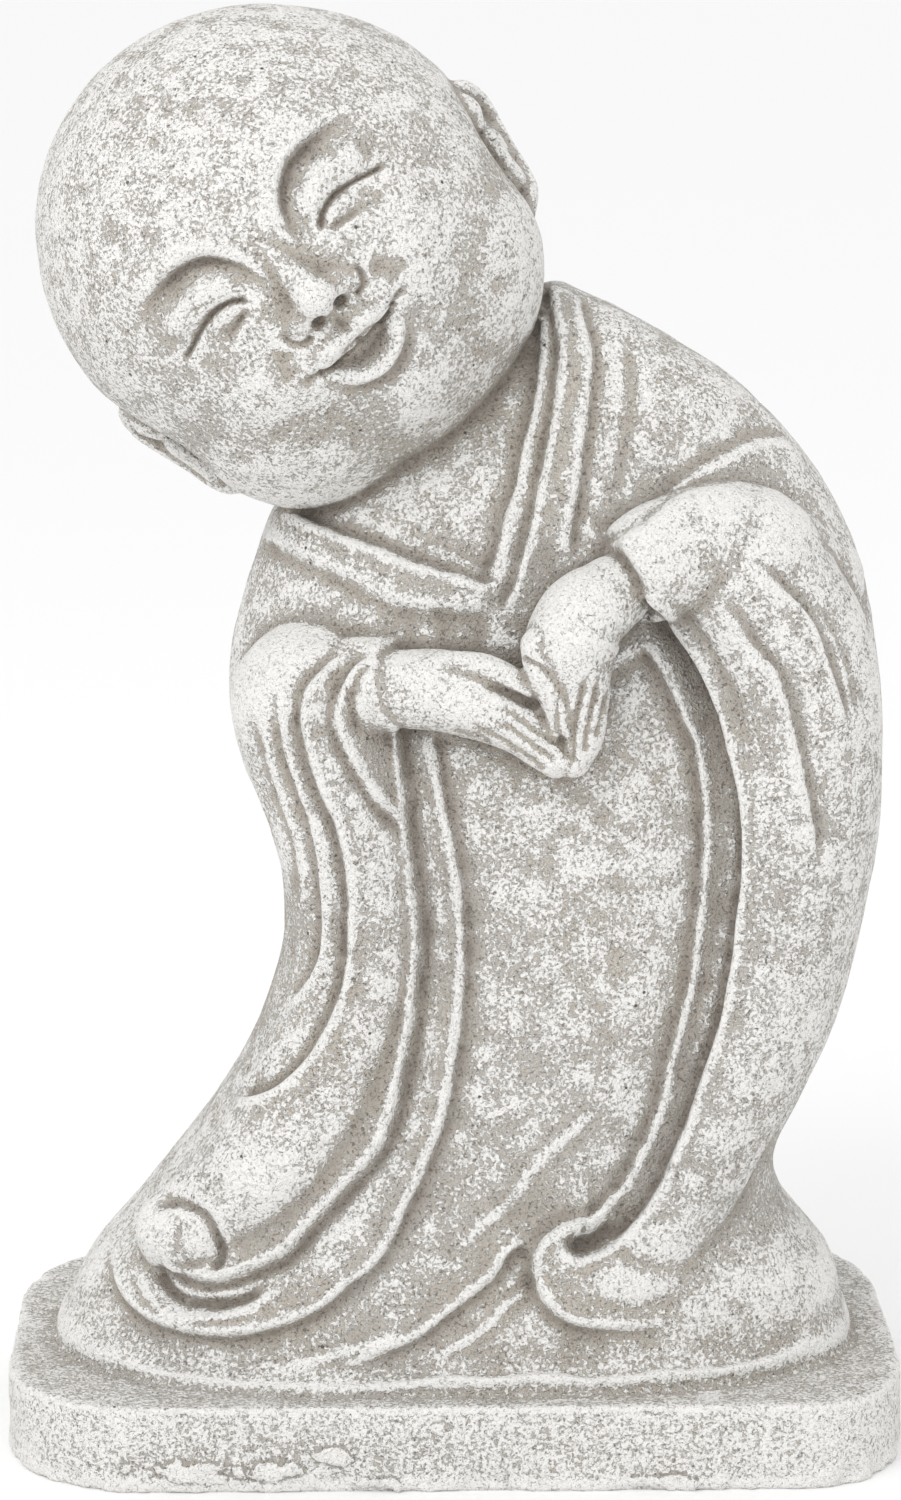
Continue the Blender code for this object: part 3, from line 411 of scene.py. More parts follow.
SLEEVE_FOLDS_RIGHT = (
    (
        (-5.4, 54.6), (-6.4, 54.2), (-7.4, 53.6), (-8.4, 51.8), (-8.8, 49.9), (-8.4, 48.2), (-7.2, 45.7),
        (-6.0, 43.7), (-4.6, 41.9), (-3.8, 40.3),
    ),
    (
        (-7.9, 54.9), (-9.1, 53.8), (-10.5, 52.5), (-11.1, 51.4), (-11.2, 49.2), (-10.7, 46.7),
        (-9.9, 44.3), (-8.8, 41.9), (-8.2, 39.4), (-7.9, 36.9), (-7.9, 34.4), (-8.1, 31.4), (-8.7, 28.9),
        (-9.7, 26.6), (-10.9, 24.6), (-12.7, 22.6), (-14.9, 21.2), (-18.0, 20.0),
    ),
    (
        (-12.9, 52.5), (-12.9, 51.0), (-12.8, 49.0), (-12.4, 46.6), (-11.6, 44.3), (-10.6, 41.7),
        (-10.1, 38.9), (-9.9, 36.1), (-9.9, 33.6), (-10.3, 31.3), (-11.4, 29.3), (-13.0, 27.0),
    ),
    (
        (-14.8, 50.5), (-14.4, 48.9), (-13.7, 45.9), (-12.8, 42.9), (-11.8, 40.0), (-11.5, 36.9),
        (-11.5, 34.2),
    ),
    ((-4.6, 54.9), (-6.7, 53.4), (-7.5, 51.3), (-7.2, 49.2), (-6.5, 47.6)),
)
SLEEVE_FOLDS_LEFT = (
    (
        (21.0, 61.3), (22.5, 60.0), (24.1, 58.4), (25.6, 56.6), (26.6, 54.3), (27.4, 51.8), (28.0, 49.9),
        (28.3, 48.6),
    ),
    (
        (18.8, 58.8), (20.1, 57.0), (21.4, 55.0), (22.9, 53.2), (23.8, 50.9), (24.4, 48.4), (25.0, 45.8),
        (25.5, 43.5), (25.9, 41.3), (25.9, 38.5),
    ),
    ((25.2, 58.7), (26.7, 56.4), (27.8, 54.1), (28.5, 51.5), (29.0, 48.3)),
    ((14.5, 59.6), (17.0, 56.6), (18.9, 53.6), (20.4, 50.0), (21.3, 46.0)),
)
SHOULDER_EDGE = ((10.6, 61.6), (11.8, 62.9), (13.8, 64.2), (17.6, 67.0), (22.1, 68.8), (26.5, 68.0))
SKIRT_FOLD = (
    (5.0, 10.9), (3.7, 9.9), (2.9, 8.6), (1.7, 7.5), (-0.6, 5.7), (-2.6, 4.2), (-4.5, 3.3), (-6.9, 2.4),
    (-9.3, 1.7),
)
POCKET_RIGHT = ((-13.5, 7.7), (-16.3, 6.3), (-18.9, 5.9), (-20.6, 6.1), (-21.8, 6.9), (-22.4, 8.0))
POCKET_LIP = (
    (-12.6, 8.0), (-15.3, 5.9), (-18.1, 5.0), (-20.3, 4.7), (-21.8, 5.1), (-23.0, 6.2), (-23.3, 7.6),
)
KNOB_CREASE = (
    (-22.8, 12.0), (-21.5, 12.9), (-20.0, 13.1), (-18.4, 12.4), (-17.5, 10.8), (-17.2, 9.3), (-18.1, 8.0),
)
FRONT_STROKES = (
    edge(RIGHT_SLEEVE_EDGE, -1, 0.35, 1.25, 3.0, 1.5, soft=0.42, lip=0.2, taper=(0.08, 0.03)),
    edge(RIGHT_LINING_EDGE, -1, 0.3, 0.7, 0.8, 5.0, soft=0.3, lip=0.15, taper=(0.02, 0.15)),
    edge(LEFT_SLEEVE_EDGE, 1, 0.4, 1.8, 4.0, 1.6, soft=0.35, lip=0.2, taper=(0.01, 0.04)),
    edge(LEFT_LINING_EDGE, 1, 0.35, 0.75, 0.9, 5.0, soft=0.25, lip=0.12, taper=(0.02, 0.12)),
    mound((7.5, 31.0), (8.0, 22.0), 0.7),
    edge(COLLAR_RIGHT_TOP, -1, 0.45, 0.75, 1.2, 4.0, soft=0.25, lip=0.12, taper=(0, 0.05)),
    edge(COLLAR_RIGHT_BOTTOM, 1, 0.3, 0.45, 1.4, 2.5, soft=0.7, taper=(0, 0.1)),
    edge(COLLAR_LEFT_INNER, 1, 0.5, 0.6, 0.8, 4.0, soft=0.25, taper=(0, 0.05)),
    edge(COLLAR_LEFT_MIDDLE, 1, 0.5, 0.9, 0.8, 0.55, soft=0.3, lip=0.12, taper=(0, 0.06)),
    edge(COLLAR_LEFT_OUTER, -1, 0.3, 0.7, 1.0, 0.8, soft=0.3, taper=(0, 0.1)),
    groove(((12.5, 77.0), (12.8, 72.0), (12.0, 67.5), (11.0, 64.0)), 0.6, 0.25),
    edge(HEM_TOP, -1, 0.35, 0.4, 1.5, 1.5, soft=0.25, lip=0.1),
    # Folds of the monk's right sleeve
    edge(SLEEVE_FOLDS_RIGHT[0], 1, 0.35, 0.8, 0.7, 0.8, soft=0.25, lip=0.1, taper=(0.15, 0.15)),
    edge(SLEEVE_FOLDS_RIGHT[1], 1, 0.4, 1.0, 0.9, 1.0, soft=0.28, lip=0.15, taper=(0.08, 0.1)),
    edge(SLEEVE_FOLDS_RIGHT[2], 1, 0.3, 0.6, 0.7, 0.8, soft=0.25, lip=0.1, taper=(0.15, 0.2)),
    edge(SLEEVE_FOLDS_RIGHT[3], 1, 0.2, 0.35, 0.7, 0.7, soft=0.3, taper=(0.2, 0.3)),
    groove(SLEEVE_FOLDS_RIGHT[4], 0.3, 0.35, taper=(0.2, 0.3)),
    mound((-12.6, 16.4), (6.0, 3.2), 0.7, turn=0.75),
    # Folds of the monk's left sleeve
    edge(SLEEVE_FOLDS_LEFT[0], -1, 0.3, 0.5, 1.2, 0.9, soft=0.16, taper=(0.2, 0.15)),
    edge(SLEEVE_FOLDS_LEFT[1], -1, 0.3, 0.55, 1.4, 1.0, soft=0.16, taper=(0.2, 0.15)),
    edge(SLEEVE_FOLDS_LEFT[2], -1, 0.15, 0.25, 1.0, 0.8, soft=0.2, taper=(0.3, 0.3)),
    groove(SLEEVE_FOLDS_LEFT[3], 0.5, 0.3, taper=(0.3, 0.4)),
    edge(SHOULDER_EDGE, -1, 0.5, 0.5, 2.0, 2.0, soft=0.6),
    # Low folds of the skirt between the sleeve ends
    edge(SKIRT_FOLD, -1, 0.3, 0.5, 0.8, 2.0, soft=0.3, lip=0.25, taper=(0.03, 0.25)),
    groove(
        ((-3.0, 5.0), (-5.5, 3.9), (-9.4, 2.7), (-12.0, 2.0), (-14.5, 1.5)), 0.3, -0.25, taper=(0.3, 0.3),
    ),
    groove(((5.4, 7.6), (3.5, 6.2), (2.3, 4.9), (-0.1, 3.4), (-2.6, 2.4)), 0.28, -0.25, taper=(0.1, 0.3)),
    mound((5.2, 7.9), (1.1, 1.7), -0.5, turn=-0.5),
    groove(
        ((11.0, 21.4), (9.2, 19.8), (6.8, 17.7), (5.3, 15.9), (3.9, 13.9), (1.7, 12.1), (0.0, 10.0)), 0.45,
        -0.25,
    ),
    # Curled ends of the sleeves
    groove(POCKET_RIGHT, 0.4, 1.0, taper=(0.3, 0.1)),
    groove(POCKET_LIP, 0.3, -0.35, taper=(0.3, 0.1)),
    groove(KNOB_CREASE, 0.38, 0.7, taper=(0.25, 0.1)),
    groove(((12.0, 12.6), (10.4, 11.3), (8.9, 10.9), (8.0, 11.4)), 0.35, 0.6, taper=(0.4, 0.05)),
    groove(((-16.5, 19.4), (-20.0, 15.5), (-23.6, 13.2), (-27.0, 9.5)), 0.6, 0.25),
)

# Long plain folds, the collar and the sleeves' outlines, seen through from the front onto the back
BACK_STROKES = (
    edge(
        ((-14.5, 60.5), (-8.0, 59.6), (0.0, 61.6), (6.5, 66.5), (9.6, 72.5), (10.2, 79.0)), 1, 0.6, 0.5,
        2.2, 2.5,
    ),
    edge(
        ((-13.0, 57.0), (-8.5, 48.0), (-6.5, 38.0), (-7.5, 27.0), (-12.0, 18.0), (-19.5, 10.5)), -1, 0.5,
        1.0, 4.0, 2.2,
    ),
    edge(
        ((24.0, 66.0), (22.5, 54.0), (22.8, 42.0), (21.5, 29.0), (17.5, 18.5), (12.0, 11.0)), 1, 0.5, 1.0,
        4.0, 2.2,
    ),
    groove(
        ((13.0, 63.0), (15.5, 50.0), (15.0, 36.0), (10.0, 20.0), (2.5, 9.0)), 1.5, 0.8, taper=(0.3, 0.2),
    ),
    groove(((5.0, 60.0), (8.0, 46.0), (6.5, 31.0), (0.5, 16.0), (-7.0, 6.5)), 1.5, 0.8, taper=(0.3, 0.2)),
    groove(
        ((-3.0, 56.0), (0.0, 44.0), (-1.5, 32.0), (-7.0, 19.0), (-14.0, 8.5)), 1.4, 0.7, taper=(0.3, 0.2),
    ),
    groove(((27.5, 55.0), (28.2, 43.0), (26.5, 31.0)), 1.2, 0.6, taper=(0.4, 0.4)),
    edge(HEM_TOP, -1, 0.3, 0.45, 1.5, 1.5),
)

# Hands, seen from the front, and how far forward the chest is left alone
HAND_DEPTH = -14.3
HAND_STROKES = (
    groove(((1.4, 52.6), (2.9, 52.2), (4.4, 51.5), (5.9, 50.8)), 0.32, 0.42, taper=(0.4, 0.05)),
    groove(((1.6, 50.7), (3.4, 49.8), (5.0, 48.6), (7.2, 46.9)), 0.27, 0.2, taper=(0.5, 0.15)),
    groove(((0.6, 49.7), (2.4, 49.0), (4.1, 47.9), (6.6, 46.0)), 0.27, 0.22, taper=(0.4, 0.15)),
    groove(((2.6, 51.3), (4.2, 50.3), (5.8, 49.1), (7.7, 47.8)), 0.27, 0.2, taper=(0.4, 0.15)),
    groove(((-0.5, 49.2), (1.2, 48.8), (2.8, 48.0)), 0.25, 0.12),
    groove(((7.2, 52.0), (7.1, 50.1), (7.5, 48.4), (7.9, 47.0)), 0.27, 0.25, taper=(0.3, 0.1)),
    groove(((9.2, 53.6), (8.8, 51.7), (8.5, 50.3), (8.3, 48.8), (8.3, 46.6)), 0.27, 0.3, taper=(0.25, 0.1)),
    groove(((10.2, 53.4), (9.7, 51.1), (9.4, 49.8), (9.1, 47.4)), 0.27, 0.3, taper=(0.25, 0.1)),
    groove(((11.0, 52.4), (10.4, 50.1), (10.0, 48.4)), 0.27, 0.28, taper=(0.3, 0.15)),
    groove(((4.6, 54.6), (5.8, 54.1), (6.9, 53.0)), 0.25, 0.3, taper=(0.05, 0.5)),
)

# The face is laid out in shares of the head's radius, across and up from its middle
BROW = (
    (0.1, -0.03), (0.1, 0.08), (0.125, 0.16), (0.175, 0.235), (0.25, 0.29), (0.35, 0.31), (0.47, 0.295),
    (0.6, 0.255),
)
EYE_LINE = (
    (0.195, 0.012), (0.225, 0.045), (0.27, 0.072), (0.34, 0.082), (0.42, 0.066), (0.49, 0.04), (0.56, 0.02),
)
UPPER_LID = ((0.19, 0.07), (0.23, 0.12), (0.30, 0.16), (0.38, 0.165), (0.46, 0.14), (0.53, 0.09))
LOWER_LID = ((0.225, 0.022), (0.28, 0.036), (0.35, 0.035), (0.43, 0.018))
LID_CREASE = ((0.20, 0.012), (0.25, -0.004), (0.32, -0.02), (0.40, -0.028))
MOUTH_CORNER = 0.2
MOUTH_TOP = -0.4
MOUTH_BOTTOM = -0.52
MOUTH_CORNER_UP = -0.378
LIP_TOP = ((0.0, -0.396), (0.05, -0.394), (0.11, -0.404), (0.16, -0.402), (0.205, -0.375))
LIP_BOW = (
    (-0.19, -0.405), (-0.155, -0.46), (-0.1, -0.515), (0.0, -0.545), (0.1, -0.515), (0.155, -0.46),
    (0.19, -0.405),
)
LIP_CREASE = ((-0.20, -0.45), (-0.13, -0.54), (0.0, -0.59), (0.13, -0.54), (0.20, -0.45))


def mouth_hollow(x, z):
    """The open smile: a flat top line and a bowed lower one."""
    bow = (x / MOUTH_CORNER) ** 2
    top = MOUTH_TOP + (MOUTH_CORNER_UP - MOUTH_TOP) * bow
    bottom = MOUTH_BOTTOM + (MOUTH_CORNER_UP - MOUTH_BOTTOM) * bow
    inside = smooth_step((top - z) / 0.02) * smooth_step((z - bottom) / 0.05)
    return -0.05 * inside * (np.abs(x) < MOUTH_CORNER)


FACE_STROKES = (
    *both_sides(edge, BROW, 1, 0.014, 0.05, 0.3, 0.16, soft=0.018, taper=(0.5, 0.35)),
    *both_sides(groove, EYE_LINE, 0.0135, 0.03, taper=(0.1, 0.12)),
    *both_sides(groove, UPPER_LID, 0.06, -0.038, taper=(0.25, 0.25)),
    *both_sides(groove, LOWER_LID, 0.02, -0.016, taper=(0.3, 0.3)),
    *both_sides(groove, LID_CREASE, 0.016, 0.016, taper=(0.3, 0.4)),
    mound((0.43, -0.30), (0.22, 0.2), 0.04),
    mound((-0.43, -0.30), (0.22, 0.2), 0.04),
    mound((0, -0.74), (0.2, 0.12), 0.03),
    (mouth_hollow, [(0, MOUTH_TOP)], 0.4),
    *both_sides(groove, LIP_TOP, 0.017, 0.022, taper=(0, 0.05)),
    mound((0.075, -0.345), (0.085, 0.036), 0.03),
    mound((-0.075, -0.345), (0.085, 0.036), 0.03),
    mound((0, -0.30), (0.022, 0.045), -0.014),
    groove(LIP_BOW, 0.024, -0.022, taper=(0.25, 0.2)),
    groove(LIP_CREASE, 0.028, 0.022, taper=(0.3, 0.3)),
    *both_sides(groove, ((0.20, -0.378), (0.235, -0.366), (0.28, -0.362)), 0.012, 0.016, taper=(0, 0.6)),
    *both_sides(
        groove, ((0.185, -0.15), (0.195, -0.2), (0.165, -0.245), (0.11, -0.255)), 0.014, 0.02,
        taper=(0.3, 0.1),
    ),
    *both_sides(groove, ((0.22, -0.20), (0.27, -0.26), (0.285, -0.33)), 0.045, 0.014, taper=(0.3, 0.3)),
    mound((0.062, -0.232), (0.026, 0.018), -0.045),
    mound((-0.062, -0.232), (0.026, 0.018), -0.045),
)
NECK = (((3.0, 0.5, 66.0), 7.5), ((-3.0, 0.0, 74.0), 7.5))
NOSE_RIDGE = (((0, -0.9, 0.17), 0.045), ((0, -0.935, 0.0), 0.062), ((0, -0.965, -0.145), 0.088))
NOSTRIL = (((0.04, -0.93, -0.15), 0.075), ((0.112, -0.885, -0.168), 0.072))
CHEEK = (((0.30, -0.20, -0.38), 0.56), ((0.31, -0.20, -0.37), 0.56))
EAR_HELIX = (
    ((0.89, -0.02, 0.01), 0.04),
    ((0.95, 0.05, -0.035), 0.04),
    ((0.972, 0.1, -0.1), 0.032),
    ((0.967, 0.12, -0.17), 0.03),
    ((0.943, 0.11, -0.25), 0.032),
    ((0.916, 0.09, -0.34), 0.035),
    ((0.893, 0.06, -0.43), 0.042),
    ((0.855, 0.01, -0.5), 0.054),
    ((0.80, -0.03, -0.545), 0.05),
)
EAR_PLATE = (
    ((0.89, 0.055, -0.07), 0.064), ((0.89, 0.06, -0.18), 0.068), ((0.87, 0.05, -0.3), 0.062),
    ((0.85, 0.03, -0.43), 0.06),
)
EAR_ROOT = (((0.9, -0.05, -0.03), 0.042), ((0.905, -0.08, -0.095), 0.056), ((0.89, -0.08, -0.15), 0.046))
EAR_RIDGE = (((0.895, -0.06, -0.235), 0.034), ((0.88, -0.06, -0.33), 0.034), ((0.86, -0.04, -0.44), 0.042))
EAR_HOLLOW = ((0.94, 0.02, -0.185), 0.05, 0.095)
LOBE_HOLLOW = ((0.915, 0.0, -0.37), 0.03, 0.02)
EAR_BED = ((0.95, 0.0, -0.27), (0.3, 0.3, 0.25), 0.095)


def face_matrix():
    """From shares of the face's radius to hundredths of the figure's height."""
    lean = Matrix.Rotation(HEAD_LEAN, 4, "Y") @ Matrix.Rotation(HEAD_TURN, 4, "Z")
    return Matrix.Translation(HEAD_CENTRE) @ lean @ Matrix.Scale(FACE_RADIUS, 4)


def head_tube(name, stops):
    """A tube whose stops are in shares of the face's radius."""
    matrix = face_matrix()
    return tube(name, [(tuple(matrix @ Vector(place)), radius * FACE_RADIUS) for place, radius in stops])


def in_face(places):
    """Places as shares of the face's radius: across, deep and up."""
    to_face = np.array(face_matrix().inverted())
    return to_face[:3, :3] @ hundredths(places) + to_face[:3, 3:]


def ear_bed(places, normals):
    """The skull is pressed in where the ears stand."""
    across, deep, up = in_face(places)
    centre, radii, depth = EAR_BED
    shares = zip((np.abs(across), deep, up), centre, radii)
    away = sum(((value - middle) / radius) ** 2 for value, middle, radius in shares)
    return -depth * np.exp(-away) * FACE_RADIUS * HUNDREDTH


def feature(stops, side):
    """A tube of the face on one side of it."""
    return head_tube("feature", [((side * x, y, z), radius) for (x, y, z), radius in stops])


def head_pieces():
    """The bald head with full cheeks, the neck, the nose and the long-lobed ears."""
    skull = ball("skull", HEAD_CENTRE, SKULL_RADII, SKULL_LEAN)
    head = fused("head", [skull, feature(CHEEK, -1), feature(CHEEK, 1)], HEAD_VOXEL, HEAD_SMOOTHING)
    carve(head, ear_bed)
    pieces = [head, tube("neck", NECK), head_tube("nose", NOSE_RIDGE)]
    for side in (-1, 1):
        pieces += [feature(stops, side) for stops in (NOSTRIL, EAR_HELIX, EAR_PLATE, EAR_ROOT, EAR_RIDGE)]
    return pieces


# Arms and hanging sleeves: places and radii
RIGHT_FOREARM = (((-11.8, -3.0, 49.5), 4.4), ((-9.0, -9.0, 51.0), 4.1), ((-4.2, -12.4, 52.1), 3.2))
LEFT_FOREARM = (
    ((25.0, -3.0, 57.5), 5.4), ((20.0, -9.0, 61.0), 5.2), ((15.6, -11.6, 61.0), 4.4),
    ((12.4, -12.9, 59.8), 3.8),
)
RIGHT_SLEEVE = (
    ((-10.4, -8.6, 50.0), 6.0),
    ((-8.3, -9.0, 41.0), 5.2),
    ((-7.1, -9.2, 34.0), 4.7),
    ((-7.9, -9.2, 27.0), 4.8),
    ((-10.6, -9.0, 20.0), 5.1),
    ((-14.0, -9.2, 14.8), 5.0),
    ((-18.6, -9.2, 11.0), 3.9),
)
LEFT_SLEEVE = (
    ((20.4, -8.6, 59.5), 6.6),
    ((23.7, -7.8, 52.0), 7.2),
    ((24.0, -7.5, 44.0), 7.2),
    ((22.9, -7.6, 34.0), 6.8),
    ((20.6, -8.2, 25.0), 6.2),
    ((17.0, -9.2, 16.5), 5.3),
    ((13.8, -10.0, 10.5), 5.2),
)
RIGHT_CURL = ((-20.3, -9.7, 10.3), (3.4, 3.0, 3.2))
LEFT_SLEEVE_END = ((11.5, -12.4, 7.4), (6.0, 3.4, 3.8))
RIGHT_HAND = (
    ((-4.8, -12.2, 51.6), 2.8),
    ((-1.0, -13.2, 51.6), 2.95),
    ((1.6, -13.8, 51.0), 2.9),
    ((4.4, -14.4, 49.4), 2.3),
    ((7.2, -14.8, 47.0), 1.55),
)
RIGHT_THUMB = (((-0.8, -14.0, 53.2), 1.5), ((2.2, -15.0, 53.4), 1.15), ((5.0, -15.8, 52.3), 0.8))
PALM = (((2.8, -13.7, 51.6), 1.8), ((5.6, -14.0, 50.8), 1.9))
LEFT_HAND = (
    ((11.2, -13.2, 58.6), 2.8),
    ((9.0, -14.2, 57.0), 3.3),
    ((8.2, -14.6, 54.6), 3.4),
    ((8.8, -14.8, 51.2), 2.2),
    ((8.9, -14.8, 48.6), 1.7),
    ((8.3, -14.8, 46.8), 1.35),
)
LEFT_THUMB = (
    ((5.9, -15.8, 55.4), 1.4), ((6.1, -16.2, 53.5), 1.25), ((6.9, -16.2, 51.4), 1.0),
    ((7.4, -15.8, 49.4), 0.8),
)


def robe_pieces():
    """The robe, the forearms in their sleeves and the curled sleeve ends."""
    return [
        robe_loft(),
        tube("right_forearm", RIGHT_FOREARM, open_cuff=True),
        tube("left_forearm", LEFT_FOREARM, open_cuff=True),
        tube("right_sleeve", RIGHT_SLEEVE),
        tube("left_sleeve", LEFT_SLEEVE),
        ball("right_curl", *RIGHT_CURL),
        ball("left_sleeve_end", *LEFT_SLEEVE_END),
    ]


def hand_pieces():
    """Two hands whose fingers point down and meet at the tips."""
    masses = {"right_hand": RIGHT_HAND, "right_thumb": RIGHT_THUMB}
    masses |= {"left_hand": LEFT_HAND, "left_thumb": LEFT_THUMB, "palm": PALM}
    return [tube(name, stops) for name, stops in masses.items()]


def robe_rise(places, normals):
    """The carving of the robe, from the front and from the back."""
    x, _, z = hundredths(places)
    front = smooth_step((-normals[:, 1] - 0.1) / 0.4)
    back = smooth_step((normals[:, 1] - 0.1) / 0.4)
    return (relief(FRONT_STROKES, x, z) * front + relief(BACK_STROKES, x, z) * back) * HUNDREDTH


def face_rise(places, normals):
    """The carving of the face and of the fingers."""
    x, y, z = hundredths(places)
    across, deep, up = in_face(places)
    on_face = smooth_step((-deep - 0.2) / 0.3) * (np.hypot(across, up) < 1.05)
    face = relief(FACE_STROKES, across, up) * on_face
    for (x_ear, y_ear, z_ear), radius, depth in (EAR_HOLLOW, LOBE_HOLLOW):
        away = np.sqrt((np.abs(across) - x_ear) ** 2 + (deep - y_ear) ** 2 + (up - z_ear) ** 2)
        face -= depth * np.exp(-((away / radius) ** 2))
    face *= FACE_RADIUS
    on_hand = smooth_step((HAND_DEPTH - y) / 0.8) * smooth_step((-normals[:, 1] - 0.1) / 0.4)
    return (face + relief(HAND_STROKES, x, z) * on_hand) * HUNDREDTH


def plinth_outline():
    """The plinth's plan, with its four oval corners."""
    outline = []
    corners = zip(((1, 1), (-1, 1), (-1, -1), (1, -1)), PLINTH_CORNERS_ALONG)
    for turn, ((side_x, side_y), corner_along) in enumerate(corners):
        for step in range(PLINTH_CORNER_STEPS + 1):
            angle = (turn + step / PLINTH_CORNER_STEPS) * math.pi / 2
            x = side_x * (HIGH.x - corner_along) + corner_along * math.cos(angle)
            y = side_y * (HIGH.y - PLINTH_CORNER_DEEP) + PLINTH_CORNER_DEEP * math.sin(angle)
            outline.append((x, y))
    return outline


def plinth():
    """A slab around the hem with softened edges."""
    bm = bmesh.new()
    rim = [bm.verts.new((x, y, 0)) for x, y in plinth_outline()]
    lid = bmesh.ops.extrude_face_region(bm, geom=[bm.faces.new(rim)])
    bmesh.ops.translate(
        bm, verts=[v for v in lid["geom"] if isinstance(v, bmesh.types.BMVert)], vec=(0, 0, PLINTH_THICKNESS)
    )
    bmesh.ops.remove_doubles(bm, verts=bm.verts, dist=1e-5)
    bmesh.ops.recalc_face_normals(bm, faces=bm.faces)
    slab = from_bmesh("plinth", bm)
    bevel = slab.modifiers.new("edges", "BEVEL")
    bevel.width = PLINTH_EDGE_ROUNDING
    bevel.segments = 4
    bevel.limit_method = "ANGLE"
    bevel.angle_limit = math.radians(40)
    bake(slab)
    return slab


# Lime crust on the plinth's front: across, up, and half sizes, all in metres
CRUST = (
    (-0.0905, 0.0075, 0.0098, 0.0046), (-0.0655, 0.0078, 0.0100, 0.0036), (-0.1135, 0.0090, 0.0022, 0.0022),
    (-0.0430, 0.0130, 0.0065, 0.0030), (0.0720, 0.0030, 0.0110, 0.0024), (-0.0250, 0.0030, 0.0080, 0.0022),
)


def crust(places, normals):
    """Where the lumps of lime stand on the plinth's front, from 0 to 1."""
    total = np.zeros(len(places))
    ragged = 0.45 * grain(places, 0.005, 6) + 0.35 * grain(places, 0.0022, 7)
    for x, z, wide, high in CRUST:
        away = np.hypot((places[:, 0] - x) / wide, (places[:, 2] - z) / high)
        total = np.maximum(total, smooth_step((1.25 - away + ragged) / 0.5))
    return total * (normals[:, 1] < -0.3) * (places[:, 2] < 0.025)


def surface_rise(places, normals):
    """The cast surface: slow waves, lumps of lime, and the broken edges of the plinth."""
    figure = bpy.context.scene.monk_figure
    depth, height = figure.grain_depth, places[:, 2]
    rise = 1.2 * depth * grain(places, 0.016, 1)
    rise += 0.8 * depth * grain(places, 0.006, 2) * (1 - 0.7 * smooth_step(normals[:, 1] * 2))
    low = smooth_step((0.010 - height) / 0.008) * (np.abs(normals[:, 2]) < 0.8)
    chips = np.maximum(grain(places, 0.011, 4) + 0.4 * grain(places, 0.004, 5), -0.2)
    rise -= low * figure.chip_depth * chips
    rim = smooth_step((height - 0.026) / 0.002) * smooth_step((0.0302 - height) / 0.0005)
    rise -= rim * 0.3 * figure.chip_depth * np.maximum(grain(places, 0.007, 9) + grain(places, 0.003, 10), 0)
    rise += 0.0014 * crust(places, normals) * (1 + 0.5 * grain(places, 0.0025, 11))
    return rise * smooth_step(height / 0.001)


# How far round a vertex its wear and its painted shade are measured, in rounds of evening out, and the
# shelter's rays, which find where shade is painted
WEAR_AND_SHADE_ROUNDS = {"ridge": 4, "swell": 90}
SHELTER_RAYS = 14
SHELTER_REACH = 0.09
SHELTER_START = 0.0008


def relaxed(values, pairs, rounds):
    """The values at the vertices, evened out with their neighbours' this many times."""
    count = np.bincount(pairs.ravel(), minlength=len(values))
    for _ in range(rounds):
        total = np.zeros_like(values)
        for here, there in (pairs.T, pairs.T[::-1]):
            for axis in range(values.shape[1]):
                total[:, axis] += np.bincount(here, values[there, axis], len(values))
        values = (values + total / count[:, None]) / 2
    return values


# Painted shade: the finish darkens each vertex by this share, standing in for the shade that falls in
# sheltered places
def shelter(places, normals, mesh, rays, reach):
    """The share of the sky over each vertex that the statue itself covers, near by."""
    tree = BVHTree.FromPolygons(places.tolist(), [tuple(p.vertices) for p in mesh.polygons])
    random = np.random.default_rng(8)
    ways = random.normal(size=(rays, 3))
    ways /= np.linalg.norm(ways, axis=1)[:, None]
    covered = np.zeros(len(places))
    starts = places + normals * SHELTER_START
    for i, (start, normal) in enumerate(zip(starts, normals)):
        towards = ways + normal * 1.02
        origin = Vector(start)
        covered[i] = sum(tree.ray_cast(origin, Vector(way), reach)[0] is not None for way in towards)
    return covered / rays


def add_values(mesh, name, values):
    mesh.attributes.new(name, "FLOAT", "POINT").data.foreach_set("value", values.astype(np.float32))


def record_wear_and_shade(mesh):
    """Keeps where the stone stands proud, lies in a groove or is sheltered, for the finish to read: its worn
    limewash and the shade it paints into hollows and sheltered places.
    """
    places, normals = vectors(mesh.vertices, "co"), vectors(mesh.vertex_normals, "vector")
    pairs = np.empty(len(mesh.edges) * 2, int)
    mesh.edges.foreach_get("vertices", pairs)
    pairs = pairs.reshape(-1, 2)
    for name, rounds in WEAR_AND_SHADE_ROUNDS.items():
        away = ((places - relaxed(places, pairs, rounds)) * normals).sum(axis=1) / MILLIMETRE
        add_values(mesh, name, relaxed(away[:, None], pairs, 1)[:, 0])
    covered = shelter(places, normals, mesh, SHELTER_RAYS, SHELTER_REACH)
    add_values(mesh, "shelter", relaxed(covered[:, None], pairs, 3)[:, 0])
    add_values(mesh, "crust", crust(places, normals))
    add_values(mesh, "upward", normals[:, 2])


